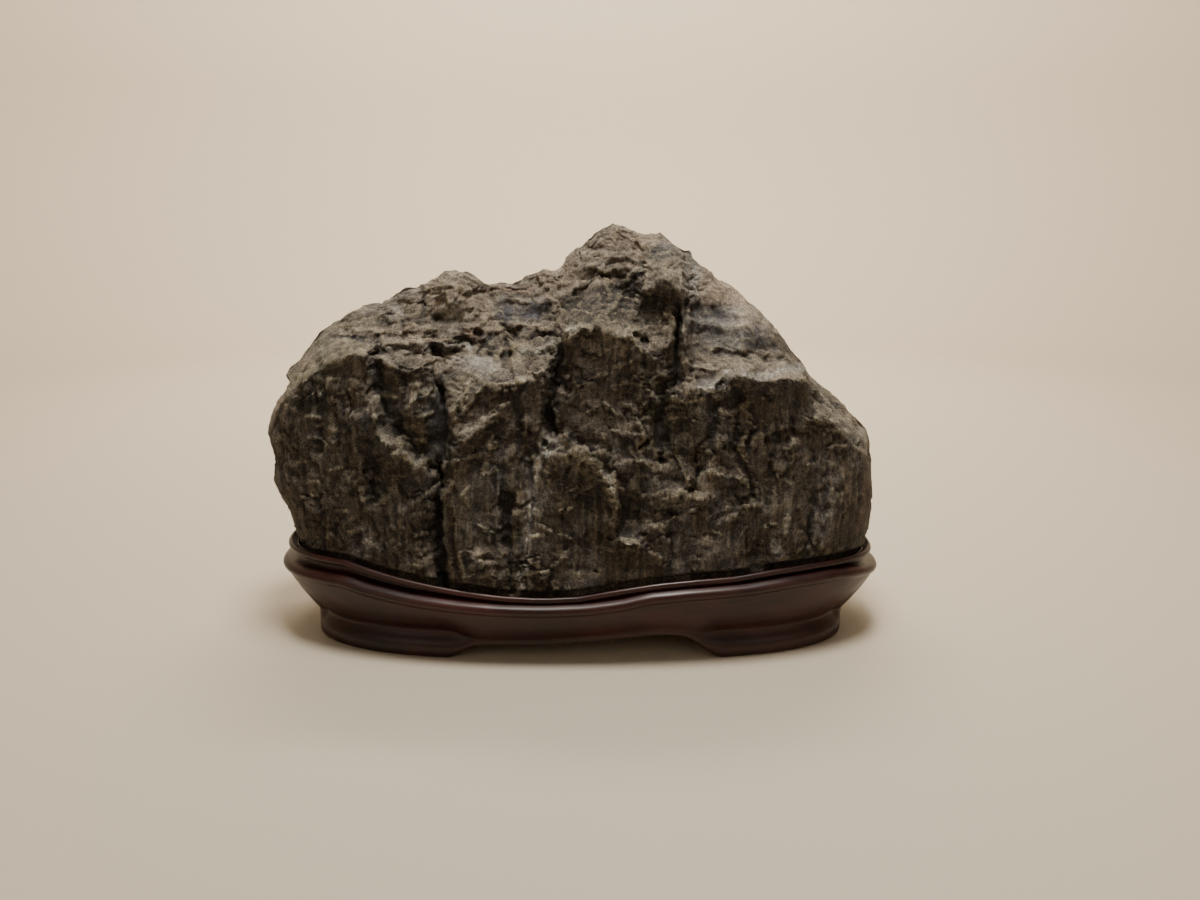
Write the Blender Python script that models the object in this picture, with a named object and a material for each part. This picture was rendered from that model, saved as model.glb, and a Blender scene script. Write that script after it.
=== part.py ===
# Scholar's rock on its carved wooden stand. Metres, +Z up, origin under the middle of the stand.
import math

import bmesh
import bpy
import numpy as np
from mathutils import Vector, noise

MM = 0.001

# ---- driving dimensions --------------------------------------------------------------------
STAND_X = 0.0020                   # the stand sits this far right of the rock's own middle
STAND_FEET = (0.1972, 0.0765)      # half length and half depth of the oval the feet stand on
STAND_RIM = (0.2200, 0.0885)       # the same for the rim bead, the widest part
STAND_LIP = (0.2150, 0.0845)       # the same for the lip bead that hugs the rock
RIM_POWER = 2.5                    # shape of the oval: 2 is an ellipse, more is boxier
FEET_POWER = 2.85
RECESS_FLOOR = 0.0367              # top of the recess floor the rock stands on
ROCK_BASE = 0.0370                 # the rock's flat underside, 0.3 mm above that floor
SEAT = (0.2068, 0.0748)            # half length and half depth of the rock where it enters the lip
ROCK_FRONT = 0.0780                # how far the cliff foot stands forward of the middle
ROCK_BACK = 0.0760                 # and the back wall behind it
ROCK_FACES = 6250

# Rock features are laid out in mm on an upright sheet SHEET_Y in front of the middle, looked at
# from EYE; a feature keeps its place on the sheet whatever depth the surface has there.
EYE = Vector((16.5, -633.0, 302.0))
SHEET_Y = -70.0
MID_SCALE = (0.0 - EYE.y) / (SHEET_Y - EYE.y)

# Side-to-side outline at the rock's middle plane (mm), clockwise from the left foot; the last
# few points lie under the base cut.
OUTLINE = [
    (-211, 66), (-215, 85), (-225, 107), (-222, 122), (-226, 143), (-220, 160), (-206, 179),
    (-209, 185), (-204, 192), (-199, 194), (-182, 217), (-159, 230), (-144, 236), (-130, 238),
    (-129, 242), (-119, 249), (-106, 249), (-99, 254), (-84, 259), (-75, 258), (-61, 248),
    (-53, 251), (-41, 251), (-36, 256), (-23, 260), (-13, 258), (-4, 269), (6, 277), (12, 285),
    (25, 291), (37, 285), (58, 285), (73, 273), (78, 273), (91, 260), (109, 249), (130, 231),
    (152, 204), (160, 195), (164, 186), (186, 170), (193, 164), (196, 157), (205, 153),
    (213, 137), (217, 106), (217, 64), (214, 44), (196, 5), (150, -30), (0, -45), (-150, -30),
    (-196, 5), (-208, 44)]
CENTRE = (0.0, 140.0)

# Height of the cliff edge along the sheet, front and back (mm).
FRONT_BROW = [
    (-215, 150), (-196, 172), (-180, 188), (-165, 201), (-142, 212), (-128, 211), (-115, 206),
    (-96, 204), (-88, 188), (-83, 160), (-78, 166), (-67, 178), (-60, 187), (-46, 190),
    (-30, 194), (-18, 203), (-8, 218), (4, 227), (15, 227), (30, 222), (38, 232), (44, 253),
    (58, 258), (67, 250), (71, 222), (76, 195), (92, 196), (106, 201), (117, 195), (146, 197),
    (154, 178), (170, 163), (186, 150), (205, 132)]
BACK_BROW = [(-215, 140), (-170, 168), (-120, 186), (-80, 204), (-40, 182), (-10, 196),
             (30, 228), (64, 214), (90, 180), (140, 166), (180, 140), (205, 120)]
# How steeply the ground above the cliff edge climbs: 1 is a straight slope, more is a flat
# terrace under a steep peak.
TERRACE = [(-220, 1.0), (-160, 1.15), (-110, 1.55), (-60, 1.5), (-20, 1.3), (30, 1.15),
           (80, 0.95), (220, 0.9)]
# How far the ridge line wanders backward (+) or forward (-) of the middle plane.
CREST = [(-225, -4), (-180, 5), (-140, -5), (-95, -11), (-76, -9), (-45, 8), (-10, 2), (25, 6),
         (60, -6), (95, 5), (140, -3), (175, 6), (217, 0)]

# Strokes: (push, width a, width b, [(x, z), ...]), all mm. Push is toward the viewer, negative
# cuts in. Width a is on the left of a stroke drawn downward and under one drawn rightward.
FRONT_STROKES = [
    (-9, 5, 10, [(-128, 212), (-124, 190), (-123, 166)]),                # left alcove
    (-12, 10, 6, [(-88, 204), (-87, 187), (-85, 166), (-86, 130)]),      # middle alcove
    (-15, 14, 4, [(-88, 132), (-91, 106), (-91, 83), (-87, 60), (-85, 36)]),   # deep crevice
    (6, 4, 34, [(-80, 150), (-83, 125), (-82, 105), (-81, 85), (-77, 62), (-74, 40)]),
    (5, 16, 3, [(-137, 217), (-130, 199), (-128, 178), (-126, 159), (-117, 150), (-101, 135),
                (-91, 127)]),                                            # pillar's right edge
    (4, 9, 3, [(-69, 158), (-57, 167), (-46, 177)]),
    (-5, 7, 6, [(-45, 118), (-45, 85), (-43, 50)]),
    (-10, 8, 6, [(-8, 220), (-9, 201), (-13, 180), (-15, 160)]),         # left of the buttress
    (-14, 5, 7, [(67, 250), (64, 220), (64, 188)]),                      # right of the buttress
    (-7, 8, 8, [(57, 190), (58, 170), (57, 143)]),
    (-4, 5, 5, [(90, 186), (90, 150)]),
    (-4, 5, 5, [(78, 147), (78, 116)]),
    (-4, 4, 6, [(-44, 228), (-45, 206)]),
    (-4, 6, 6, [(-150, 166), (-150, 136)]),
    (8, 24, 3, [(-4, 146), (8, 146), (16, 139), (22, 132), (27, 120), (28, 100)]),  # round pillar
    (4, 14, 4, [(36, 262), (49, 267), (60, 264), (69, 256), (72, 246)]),
    (5, 22, 4, [(-2, 227), (8, 232), (15, 230), (29, 224), (39, 218)]),
    (5, 14, 5, [(60, 188), (84, 191), (93, 197), (106, 203), (117, 195), (128, 197), (146, 199)]),
    (3, 8, 4, [(30, 140), (46, 141), (51, 130), (56, 114)]),
    (3, 10, 3, [(57, 117), (86, 117)]),
    (3, 9, 3, [(50, 92), (67, 103)]),
    (3, 9, 3, [(26, 86), (43, 83), (56, 74)]),
    (-3, 3, 5, [(103, 151), (117, 129), (119, 112)]),
    (3, 4, 10, [(-121, 122), (-121, 82)]),
    (-4, 4, 6, [(-152, 223), (-129, 224)]),                              # terrace beds
    (3, 6, 4, [(-148, 215), (-124, 217)]),
    (4, 6, 4, [(-120, 222), (-98, 218)]),
    (-3, 4, 5, [(-100, 212), (-76, 213)]),
    (5, 7, 4, [(-84, 221), (-66, 226), (-52, 221)]),
    (3, 6, 6, [(-20, 243), (6, 254)]),
    (4, 8, 4, [(156, 172), (188, 166)]),
    (-4, 6, 4, [(92, 214), (116, 208), (138, 209)]),
]
# Lumps and hollows: (push, x, z, half width, half height), mm.
FRONT_LUMPS = [
    (6, -146, 172, 15, 46), (4, -105, 172, 12, 34), (-6, -178, 133, 7, 18),
    (-7, -131, 128, 11, 22), (5, -62, 69, 12, 14), (-9, 38, 104, 12, 20), (-5, 36, 184, 7, 8),
    (7, -106, 250, 9, 9), (6, -76, 248, 15, 14), (-6, -87, 236, 5, 5), (-5, -118, 234, 5, 5),
    (-20, 52, 248, 30, 36), (5, -184, 198, 7, 7), (4, 167, 184, 7, 6), (-6, 127, 213, 14, 12),
    (5, 112, 236, 18, 12), (7, -186, 96, 16, 30), (6, -170, 60, 24, 14), (-5, -158, 92, 8, 24),
    (6, -200, 140, 16, 20), (5, 6, 270, 20, 12), (-4, 28, 256, 8, 10), (4, 176, 110, 12, 40),
    (-4, 155, 95, 7, 36), (-5, 120, 75, 14, 22), (5, 88, 70, 16, 24), (-5, -24, 236, 16, 9),
]
BACK_STROKES = [
    (-12, 8, 12, [(-112, 236), (-118, 190), (-104, 140), (-110, 90), (-106, 40)]),
    (-10, 12, 7, [(-10, 232), (-16, 190), (-4, 150), (-14, 100)]),
    (-11, 9, 10, [(74, 250), (84, 200), (78, 150), (92, 96), (88, 40)]),
    (8, 26, 5, [(-200, 118), (-160, 134), (-124, 126), (-84, 150)]),
    (8, 24, 5, [(-60, 92), (-20, 108), (30, 98), (64, 120)]),
    (7, 24, 5, [(96, 150), (132, 138), (170, 150), (206, 132)]),
    (6, 5, 26, [(30, 236), (26, 190), (36, 150), (30, 120)]),
    (-8, 8, 6, [(-60, 236), (-54, 196), (-62, 160)]),
    (-6, 7, 9, [(148, 190), (156, 140), (148, 86), (152, 40)]),
    (7, 6, 20, [(-150, 110), (-158, 74), (-150, 40)]),
]
BACK_LUMPS = [
    (10, -140, 92, 30, 34), (9, -58, 60, 34, 26), (12, 30, 176, 30, 40), (-8, 2, 70, 26, 22),
    (9, 126, 80, 26, 40), (8, -80, 226, 22, 18), (-8, -150, 176, 20, 16), (7, 190, 92, 18, 36),
    (8, 40, 244, 20, 16), (-7, 60, 120, 16, 22), (6, -190, 90, 16, 30),
]

# ---- stand heights along the front and back (x mm, z mm) -------------------------------------
LIP_FRONT = [(-219, 68.5), (-161, 69.5), (-132, 63), (-105, 58), (-78, 54), (-52, 51),
             (-25, 49.7), (0, 51), (27, 56), (53, 60), (80, 62), (106, 63), (134, 66),
             (162, 67), (194, 66), (219, 63)]
LIP_BACK = [(-219, 68.5), (-170, 68), (-120, 64), (-60, 58), (0, 55.5), (60, 57.5), (130, 64),
            (190, 66), (219, 63)]
RIM_FRONT = [(-224, 52.5), (-163, 54.5), (-147, 51), (-130, 48.6), (-115, 46.4), (-84, 43.6),
             (-55, 41.8), (-25, 41.4), (4, 42.6), (30, 46), (48, 50.4), (74, 52.4), (116, 54),
             (145, 56.5), (177, 57), (200, 54), (224, 47)]
RIM_BACK = [(-224, 52.5), (-180, 54), (-120, 51), (-60, 47), (0, 45.5), (60, 47.5), (130, 53),
            (180, 54), (224, 47)]


def heights(table, x):
    xs, zs = zip(*table)
    return np.interp(x, xs, zs)


def fresh_object(name, bm, colour, roughness):
    mesh = bpy.data.meshes.new(name)
    bm.to_mesh(mesh)
    bm.free()
    mesh.shade_smooth()
    obj = bpy.data.objects.new(name, mesh)
    bpy.context.collection.objects.link(obj)
    material = bpy.data.materials.new(name)
    material.use_nodes = True
    shader = material.node_tree.nodes["Principled BSDF"]
    shader.inputs["Base Color"].default_value = (*colour, 1.0)
    shader.inputs["Roughness"].default_value = roughness
    mesh.materials.append(material)
    return obj


# ---- rock ------------------------------------------------------------------------------------
def on_sheet(points):
    """Middle-plane points as they appear on the sheet."""
    return [(EYE.x + (x - EYE.x) / MID_SCALE, EYE.z + (z - EYE.z) / MID_SCALE) for x, z in points]


def stroke_push(x, z, push, width_a, width_b, points):
    """Push of one stroke at every sheet point: full on its line, fading over each side's width."""
    nearest = np.full_like(x, 1e9)
    for (x0, z0), (x1, z1) in zip(points, points[1:]):
        dx, dz = x1 - x0, z1 - z0
        t = np.clip(((x - x0) * dx + (z - z0) * dz) / (dx * dx + dz * dz), 0.0, 1.0)
        away = np.hypot(x - x0 - t * dx, z - z0 - t * dz)
        side = dx * (z - z0) - dz * (x - x0)
        nearest = np.minimum(nearest, away / np.where(side < 0, width_a, width_b))
    fade = np.clip(1.0 - nearest, 0.0, 1.0)
    return push * fade * fade * (3.0 - 2.0 * fade)


def lump_push(x, z, push, cx, cz, half_width, half_height):
    r2 = ((x - cx) / half_width) ** 2 + ((z - cz) / half_height) ** 2
    return push * np.clip(1.0 - r2, 0.0, 1.0) ** 1.5


def rock_surface(direction):
    """Moves unit-sphere points onto the rock; the sphere's y poles become front and back."""
    front = direction[:, 1] < 0
    reach = np.minimum(np.hypot(direction[:, 0], direction[:, 2]), 1.0)
    angle = np.arctan2(direction[:, 2], direction[:, 0])

    # Outline as a radius about the centre, and the sheet position it gives.
    outline = on_sheet(OUTLINE)
    centre = on_sheet([CENTRE])[0]
    rim_angle = [math.atan2(pz - centre[1], px - centre[0]) for px, pz in outline]
    rim_radius = [math.hypot(px - centre[0], pz - centre[1]) for px, pz in outline]
    order = np.argsort(rim_angle)
    radius = np.interp(angle, np.array(rim_angle)[order], np.array(rim_radius)[order],
                       period=2 * math.pi)
    x = centre[0] + reach * radius * np.cos(angle)
    z = centre[1] + reach * radius * np.sin(angle)

    # Full depth over the cliff, falling to the ridge above its edge and round at both ends.
    top = sorted(p for p in outline if p[1] > 120)
    top_z = heights(top, x)
    left = sorted((pz, px) for px, pz in outline if px < 0 and pz < 185)
    right = sorted((pz, px) for px, pz in outline if px > 0 and pz < 160)
    end = np.where(x < 0, -heights(left, z), heights(right, z))
    across = np.clip(np.abs(x) / np.maximum(end, 1.0), 0.0, 1.0)
    depth_share = (1.0 - across ** 3.0) ** (1 / 3.0)
    brow = np.where(front, heights(FRONT_BROW, x), heights(BACK_BROW, x))
    climb = np.where(front, heights(TERRACE, x), 0.85)
    above = np.clip((top_z - z) / np.maximum(top_z - brow, 4.0), 0.0, 1.0)
    depth_share = np.minimum(depth_share * above ** climb, (1.0 - reach ** 30) ** 0.5)

    # Front and back walls lean in a little with height.
    lean = np.clip((z - 45.0) / 160.0, 0.0, 1.2)
    front_depth = ROCK_FRONT / MM - 13.0 * lean
    back_depth = ROCK_BACK / MM - 16.0 * lean
    crest = heights(CREST, x)

    inside = 1.0 - reach ** 10
    push_front = sum(stroke_push(x, z, *s) for s in FRONT_STROKES)
    push_front += sum(lump_push(x, z, *s) for s in FRONT_LUMPS)
    push_back = sum(stroke_push(x, z, *s) for s in BACK_STROKES)
    push_back += sum(lump_push(x, z, *s) for s in BACK_LUMPS)

    y_front = crest * (1.0 - depth_share) - front_depth * depth_share - push_front * inside
    y_back = crest * (1.0 - depth_share) + back_depth * depth_share + push_back * inside
    y = np.where(front, y_front, y_back)

    # Off the sheet: the front keeps its place as seen from EYE, the back goes straight behind.
    spread = (np.where(front, y, crest) - EYE.y) / (SHEET_Y - EYE.y)
    return np.stack([EYE.x + (x - EYE.x) * spread, y, EYE.z + (z - EYE.z) * spread], axis=1)


def roughness_push(point, normal):
    """Broken-stone relief in mm: long upright flutes on the cliffs, lumpy grain on the rest."""
    steep = 1.0 - min(1.0, abs(normal.z) * 1.6)
    flute = noise.noise(Vector((point.x / 9.0, point.y / 9.0, point.z / 60.0)))
    chunk = noise.fractal(Vector((point.x / 26.0, point.y / 26.0, point.z / 32.0)), 0.7, 2.1, 3)
    grain = noise.noise(point / 11.0)
    return 1.8 * flute * steep + 2.3 * chunk + 1.6 * grain * (1.0 - 0.6 * steep)


def hold_in_seat(p):
    """Draws the foot of the rock in so that it drops inside the stand's lip."""
    away = p.x - STAND_X / MM
    lip = heights(LIP_FRONT if p.y < 0 else LIP_BACK, away)
    flare = 1.0 + max(0.0, (p.z - lip) / 170.0)
    q = (abs(away) / (SEAT[0] / MM)) ** RIM_POWER + (abs(p.y) / (SEAT[1] / MM)) ** RIM_POWER
    q = q ** (1.0 / RIM_POWER) / flare
    if p.z < lip + 16.0 and q > 1.0:
        share = min(1.0, (lip + 16.0 - p.z) / 12.0)
        pull = 1.0 - share * (1.0 - 1.0 / q)
        return Vector((p.x - away * (1.0 - pull), p.y * pull, p.z))
    return p


def build_rock():
    bm = bmesh.new()
    bmesh.ops.create_icosphere(bm, subdivisions=7, radius=1.0)
    bm.verts.ensure_lookup_table()
    direction = np.array([v.co[:] for v in bm.verts])
    direction /= np.linalg.norm(direction, axis=1)[:, None]
    for vert, place in zip(bm.verts, rock_surface(direction)):
        vert.co = place
    bm.normal_update()
    moved = []
    for vert in bm.verts:
        p = vert.co + vert.normal * roughness_push(vert.co, vert.normal)
        moved.append(hold_in_seat(p) * MM)
    for vert, place in zip(bm.verts, moved):
        vert.co = place

    # Flat sawn underside.
    geometry = bm.verts[:] + bm.edges[:] + bm.faces[:]
    bmesh.ops.bisect_plane(bm, geom=geometry, dist=0.00001, plane_co=(0, 0, ROCK_BASE),
                           plane_no=(0, 0, -1), clear_outer=True)
    bmesh.ops.holes_fill(bm, edges=[e for e in bm.edges if e.is_boundary], sides=0)
    bmesh.ops.triangulate(bm, faces=[f for f in bm.faces if len(f.verts) > 4])

    rock = fresh_object("rock", bm, (0.085, 0.070, 0.055), 0.82)
    thin = rock.modifiers.new("thin", "DECIMATE")
    thin.ratio = ROCK_FACES / len(rock.data.polygons)
    return rock


# ---- stand -----------------------------------------------------------------------------------
# Columns round the oval, degrees within each quarter from an end toward the long side; close
# together where a foot stops.
QUARTER = [0, 6, 11, 14, 16.5, 19, 22, 28, 35, 42, 49, 55, 60, 64, 67, 69, 71, 73, 75.5, 79, 83, 87]
FOOT_STOP_END = (12.0, 20.0)       # each foot fades in between these angles at the short ends
FOOT_STOP_SIDE = (67.0, 75.5)      # and out between these along the sides
ARCH_FRONT = [(-80, 9.5), (-15, 10.5), (18, 14.5), (45, 17.8), (62, 17.6), (85, 13.5)]
ARCH_BACK = [(-80, 11), (0, 14.5), (80, 12)]
WAIST_Z = 0.0185                   # narrowest level, just above the flared feet
UNDERSIDE_Z = 0.0215


def column_angles():
    half = QUARTER + [90] + [180 - a for a in reversed(QUARTER[1:])]
    return [math.radians(a) for a in half] + [math.radians(a + 180) for a in half]


def smooth(low, high, value):
    t = min(1.0, max(0.0, (value - low) / (high - low)))
    return t * t * (3.0 - 2.0 * t)


def oval(half, angle, power=RIM_POWER):
    c, s = math.cos(angle), math.sin(angle)
    return (half[0] * math.copysign(abs(c) ** (2 / power), c),
            half[1] * math.copysign(abs(s) ** (2 / power), s))


def stand_column(angle):
    """One upright slice of the stand from the recess floor over the rim to the underside:
    a list of (oval, oval power, out, height), out being how far outside that oval."""
    in_quarter = math.degrees(math.acos(min(1.0, abs(math.cos(angle)))))
    front = math.sin(angle) < 0
    lip = heights(LIP_FRONT if front else LIP_BACK, oval(STAND_LIP, angle)[0] / MM) * MM
    rim = heights(RIM_FRONT if front else RIM_BACK, oval(STAND_RIM, angle)[0] / MM) * MM
    foot = smooth(*FOOT_STOP_END, in_quarter) * (1.0 - smooth(*FOOT_STOP_SIDE, in_quarter))
    arch = 0.0110
    if in_quarter > 45:
        arch = heights(ARCH_FRONT if front else ARCH_BACK, oval(STAND_LIP, angle)[0] / MM) * MM

    def low(foot_out, foot_z, arch_out, above_arch):
        """Blends the flared foot with the plain apron edge over the arch."""
        return (STAND_FEET, FEET_POWER, foot_out * foot + arch_out * (1.0 - foot),
                foot_z * foot + (arch + above_arch) * (1.0 - foot))

    waist = low(-0.0040, WAIST_Z, -0.0018, 0.0050)
    wall_top = rim - 0.0044
    rows = [
        (SEAT, RIM_POWER, 0.0016, RECESS_FLOOR),
        (STAND_LIP, RIM_POWER, -0.0068, lip - 0.0040),
        (STAND_LIP, RIM_POWER, -0.0034, lip - 0.0004),
        (STAND_LIP, RIM_POWER, -0.0014, lip),
        (STAND_LIP, RIM_POWER, 0.0, lip - 0.0020),
        (STAND_LIP, RIM_POWER, -0.0014, lip - 0.0042),
        (STAND_LIP, RIM_POWER, -0.0042, lip - 0.0056),
        (STAND_LIP, RIM_POWER, -0.0038, rim + 0.0036),
        (STAND_RIM, RIM_POWER, -0.0022, rim + 0.0028),
        (STAND_RIM, RIM_POWER, 0.0, rim),
        (STAND_RIM, RIM_POWER, -0.0012, rim - 0.0028),
        (STAND_RIM, RIM_POWER, -0.0034, wall_top),
    ]
    # The apron runs from the rim's oval to the feet's.
    for share, drop in ((0.42, 0.36), (0.80, 0.72)):
        half = [STAND_RIM[k] - 0.0034 + (STAND_FEET[k] + waist[2] - STAND_RIM[k] + 0.0034) * share
                for k in (0, 1)]
        rows.append((half, RIM_POWER + (FEET_POWER - RIM_POWER) * share, 0.0,
                     wall_top + (waist[3] - wall_top) * drop))
    return rows + [
        waist,
        low(-0.0026, 0.0130, -0.0016, 0.0030),
        low(0.0, 0.0068, -0.0018, 0.0014),
        low(-0.0004, 0.0020, -0.0024, 0.0004),
        low(-0.0026, 0.0, -0.0040, 0.0),
        low(-0.0230, 0.0, -0.0230, 0.0),
        (STAND_FEET, FEET_POWER, -0.0280, UNDERSIDE_Z),
    ]


def build_stand():
    bm = bmesh.new()
    rings = []
    for angle in column_angles():
        ring = []
        for half, power, out, z in stand_column(angle):
            x, y = oval((half[0] + out, half[1] + out), angle, power)
            ring.append(bm.verts.new((x + STAND_X, y, z)))
        rings.append(ring)
    for this, after in zip(rings, rings[1:] + rings[:1]):
        for k in range(len(this) - 1):
            bm.faces.new((this[k], this[k + 1], after[k + 1], after[k]))
    bm.faces.new([ring[0] for ring in rings])
    bm.faces.new([ring[-1] for ring in reversed(rings)])
    bmesh.ops.recalc_face_normals(bm, faces=bm.faces)
    bmesh.ops.triangulate(bm, faces=bm.faces)
    return fresh_object("stand", bm, (0.050, 0.018, 0.013), 0.32)


for old in list(bpy.data.objects):
    bpy.data.objects.remove(old)
build_rock()
build_stand()
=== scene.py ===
# Looks of the scholar's rock and its carved stand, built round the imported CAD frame.
import math

import bmesh
import bpy
import numpy as np
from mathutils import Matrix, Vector, noise


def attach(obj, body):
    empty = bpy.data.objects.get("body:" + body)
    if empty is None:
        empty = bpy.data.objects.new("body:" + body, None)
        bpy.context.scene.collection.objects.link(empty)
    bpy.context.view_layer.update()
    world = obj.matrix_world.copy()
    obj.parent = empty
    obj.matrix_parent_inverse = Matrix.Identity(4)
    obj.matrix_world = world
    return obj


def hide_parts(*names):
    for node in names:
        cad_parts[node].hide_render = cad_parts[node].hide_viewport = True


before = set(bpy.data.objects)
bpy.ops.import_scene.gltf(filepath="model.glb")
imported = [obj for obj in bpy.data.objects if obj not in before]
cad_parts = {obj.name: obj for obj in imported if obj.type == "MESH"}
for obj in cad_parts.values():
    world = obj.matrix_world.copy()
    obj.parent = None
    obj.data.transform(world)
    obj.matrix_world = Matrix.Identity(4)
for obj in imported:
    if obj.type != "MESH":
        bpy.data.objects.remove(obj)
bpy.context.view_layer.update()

MM = 0.001

# ---- sizes in m ---------------------------------------------------------------------------------
STAND_X = 0.0020                   # the stand sits this far right of the rock's own middle
STAND_FEET = (0.1972, 0.0765)      # half length and half depth of the oval the feet stand on
STAND_RIM = (0.2200, 0.0885)       # the same for the rim bead, the widest part
STAND_LIP = (0.2150, 0.0845)       # the same for the lip bead that hugs the rock
RIM_POWER = 2.5                    # shape of the oval: 2 is an ellipse, more is boxier
FEET_POWER = 2.85
RECESS_FLOOR = 0.0367              # top of the recess floor that the rock stands on
ROCK_BASE = 0.0370                 # the rock's flat underside, 0.3 mm above that floor
SEAT = (0.2068, 0.0748)            # half length and half depth of the rock where it enters the lip

# ---- sizes of the rock in mm --------------------------------------------------------------------
SEAT_PULL = 36.0                   # the seat draws the rock in up to this far above the lip,
SEAT_FADE = 32.0                   # fading over this height,
SEAT_FLARE = 60.0                  # and lets it grow by 1 / SEAT_FLARE of its size with every mm
ROCK_FRONT = 78.0                  # how far the cliff foot stands forward of the middle
ROCK_BACK = 76.0                   # and the back wall behind it
FRONT_LEAN = 13.0                  # how far each wall leans in over LEAN_HEIGHT above LEAN_FROM
BACK_LEAN = 16.0
LEAN_FROM = 45.0
LEAN_HEIGHT = 160.0
RIDGE_HALF = 6.0                   # half the thickness that blunts the ridge
PAST_CREST = 16.0                  # the front's marks reach this far behind the crest
EASE = (-9, -6, -3, 0, 3, 6, 9)    # shifts over which the steps of the outline are averaged

# Mesh of the rock: an icosphere crowded toward the front, thinned to ROCK_TRIANGLES.
ROCK_DIVISIONS = 8
ROCK_TRIANGLES = 194000
RELAX_ROUNDS = 14
FRONT_CROWDING = 0.66
# Without a seed of its own, noise_vector gives another stone on every run.
NOISE_SEED = 4

# Features are laid out in mm on an upright sheet SHEET_Y in front of the middle, looked at from
# EYE; a feature keeps its place on the sheet whatever depth the surface has there.
EYE = Vector((16.5, -633.0, 302.0))
SHEET_Y = -70.0
MID_SCALE = (0.0 - EYE.y) / (SHEET_Y - EYE.y)


def mid(*points):
    """Points of the rock's middle plane as they appear on the sheet."""
    return [(EYE.x + (x - EYE.x) / MID_SCALE, EYE.z + (z - EYE.z) / MID_SCALE) for x, z in points]


OUTLINE = mid(
    (-211, 66), (-215, 85), (-222, 95), (-225, 107), (-222, 122), (-224, 132), (-226, 143),
    (-223, 153), (-220, 160), (-213, 172), (-206, 179), (-209, 185), (-204, 192), (-199, 194),
    (-192, 204), (-182, 217), (-172, 223), (-159, 230), (-144, 236), (-130, 238), (-129, 242),
    (-119, 249), (-106, 249), (-99, 254), (-92, 258), (-84, 259), (-81, 257), (-75, 258),
    (-70, 254), (-65, 249), (-61, 248), (-53, 251), (-41, 251), (-36, 256), (-23, 260),
    (-13, 258), (-4, 269), (6, 277), (12, 285), (25, 291), (33, 289), (37, 285), (54, 283),
    (58, 285), (65, 279), (73, 273), (78, 273), (82, 265), (91, 260), (102, 252), (109, 249),
    (117, 242), (130, 231), (141, 218), (152, 204), (160, 195), (164, 186), (175, 177),
    (186, 170), (193, 164), (196, 157), (205, 153), (211, 144), (213, 137), (215, 117),
    (217, 106), (217, 64), (214, 44), (196, 5), (150, -30), (0, -45), (-150, -30), (-196, 5),
    (-208, 44))
CENTRE = mid((0.0, 140.0))[0]

# Height of the cliff's upper edge along the sheet, front and back.
FRONT_BROW = [
    (-215, 150), (-196, 172), (-180, 188), (-165, 201), (-142, 212), (-128, 211), (-115, 206),
    (-96, 204), (-90, 192), (-84, 170), (-78, 176), (-67, 187), (-60, 191), (-46, 191),
    (-30, 194), (-18, 203), (-8, 218), (4, 227), (15, 227), (30, 222), (38, 232), (44, 253),
    (58, 258), (67, 250), (70, 222), (74, 192), (80, 184), (92, 186), (99, 194), (106, 199),
    (117, 194), (146, 197), (154, 178), (170, 163), (186, 150), (205, 132)]
BACK_BROW = [(-215, 140), (-170, 168), (-120, 186), (-80, 204), (-40, 182), (-10, 196),
             (30, 228), (64, 214), (90, 180), (140, 166), (180, 140), (205, 120)]
# How the ground climbs above that edge: 1 is a straight slope, more is a flat terrace under a
# steep peak.
TERRACE = [(-220, 1.0), (-160, 1.15), (-110, 1.55), (-60, 1.5), (-20, 1.3), (-6, 1.7),
           (10, 1.9), (30, 1.8), (42, 1.3), (60, 1.1), (80, 0.95), (220, 0.9)]
BACK_CLIMB = 0.85                  # the same at the back
# How far the crest wanders backward (+) or forward (-) of the middle plane.
CREST = [(-225, -4), (-180, 5), (-140, -5), (-95, -11), (-76, -9), (-45, 8), (-10, 2), (25, 6),
         (60, -6), (95, 5), (140, -3), (175, 6), (217, 0)]

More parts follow.
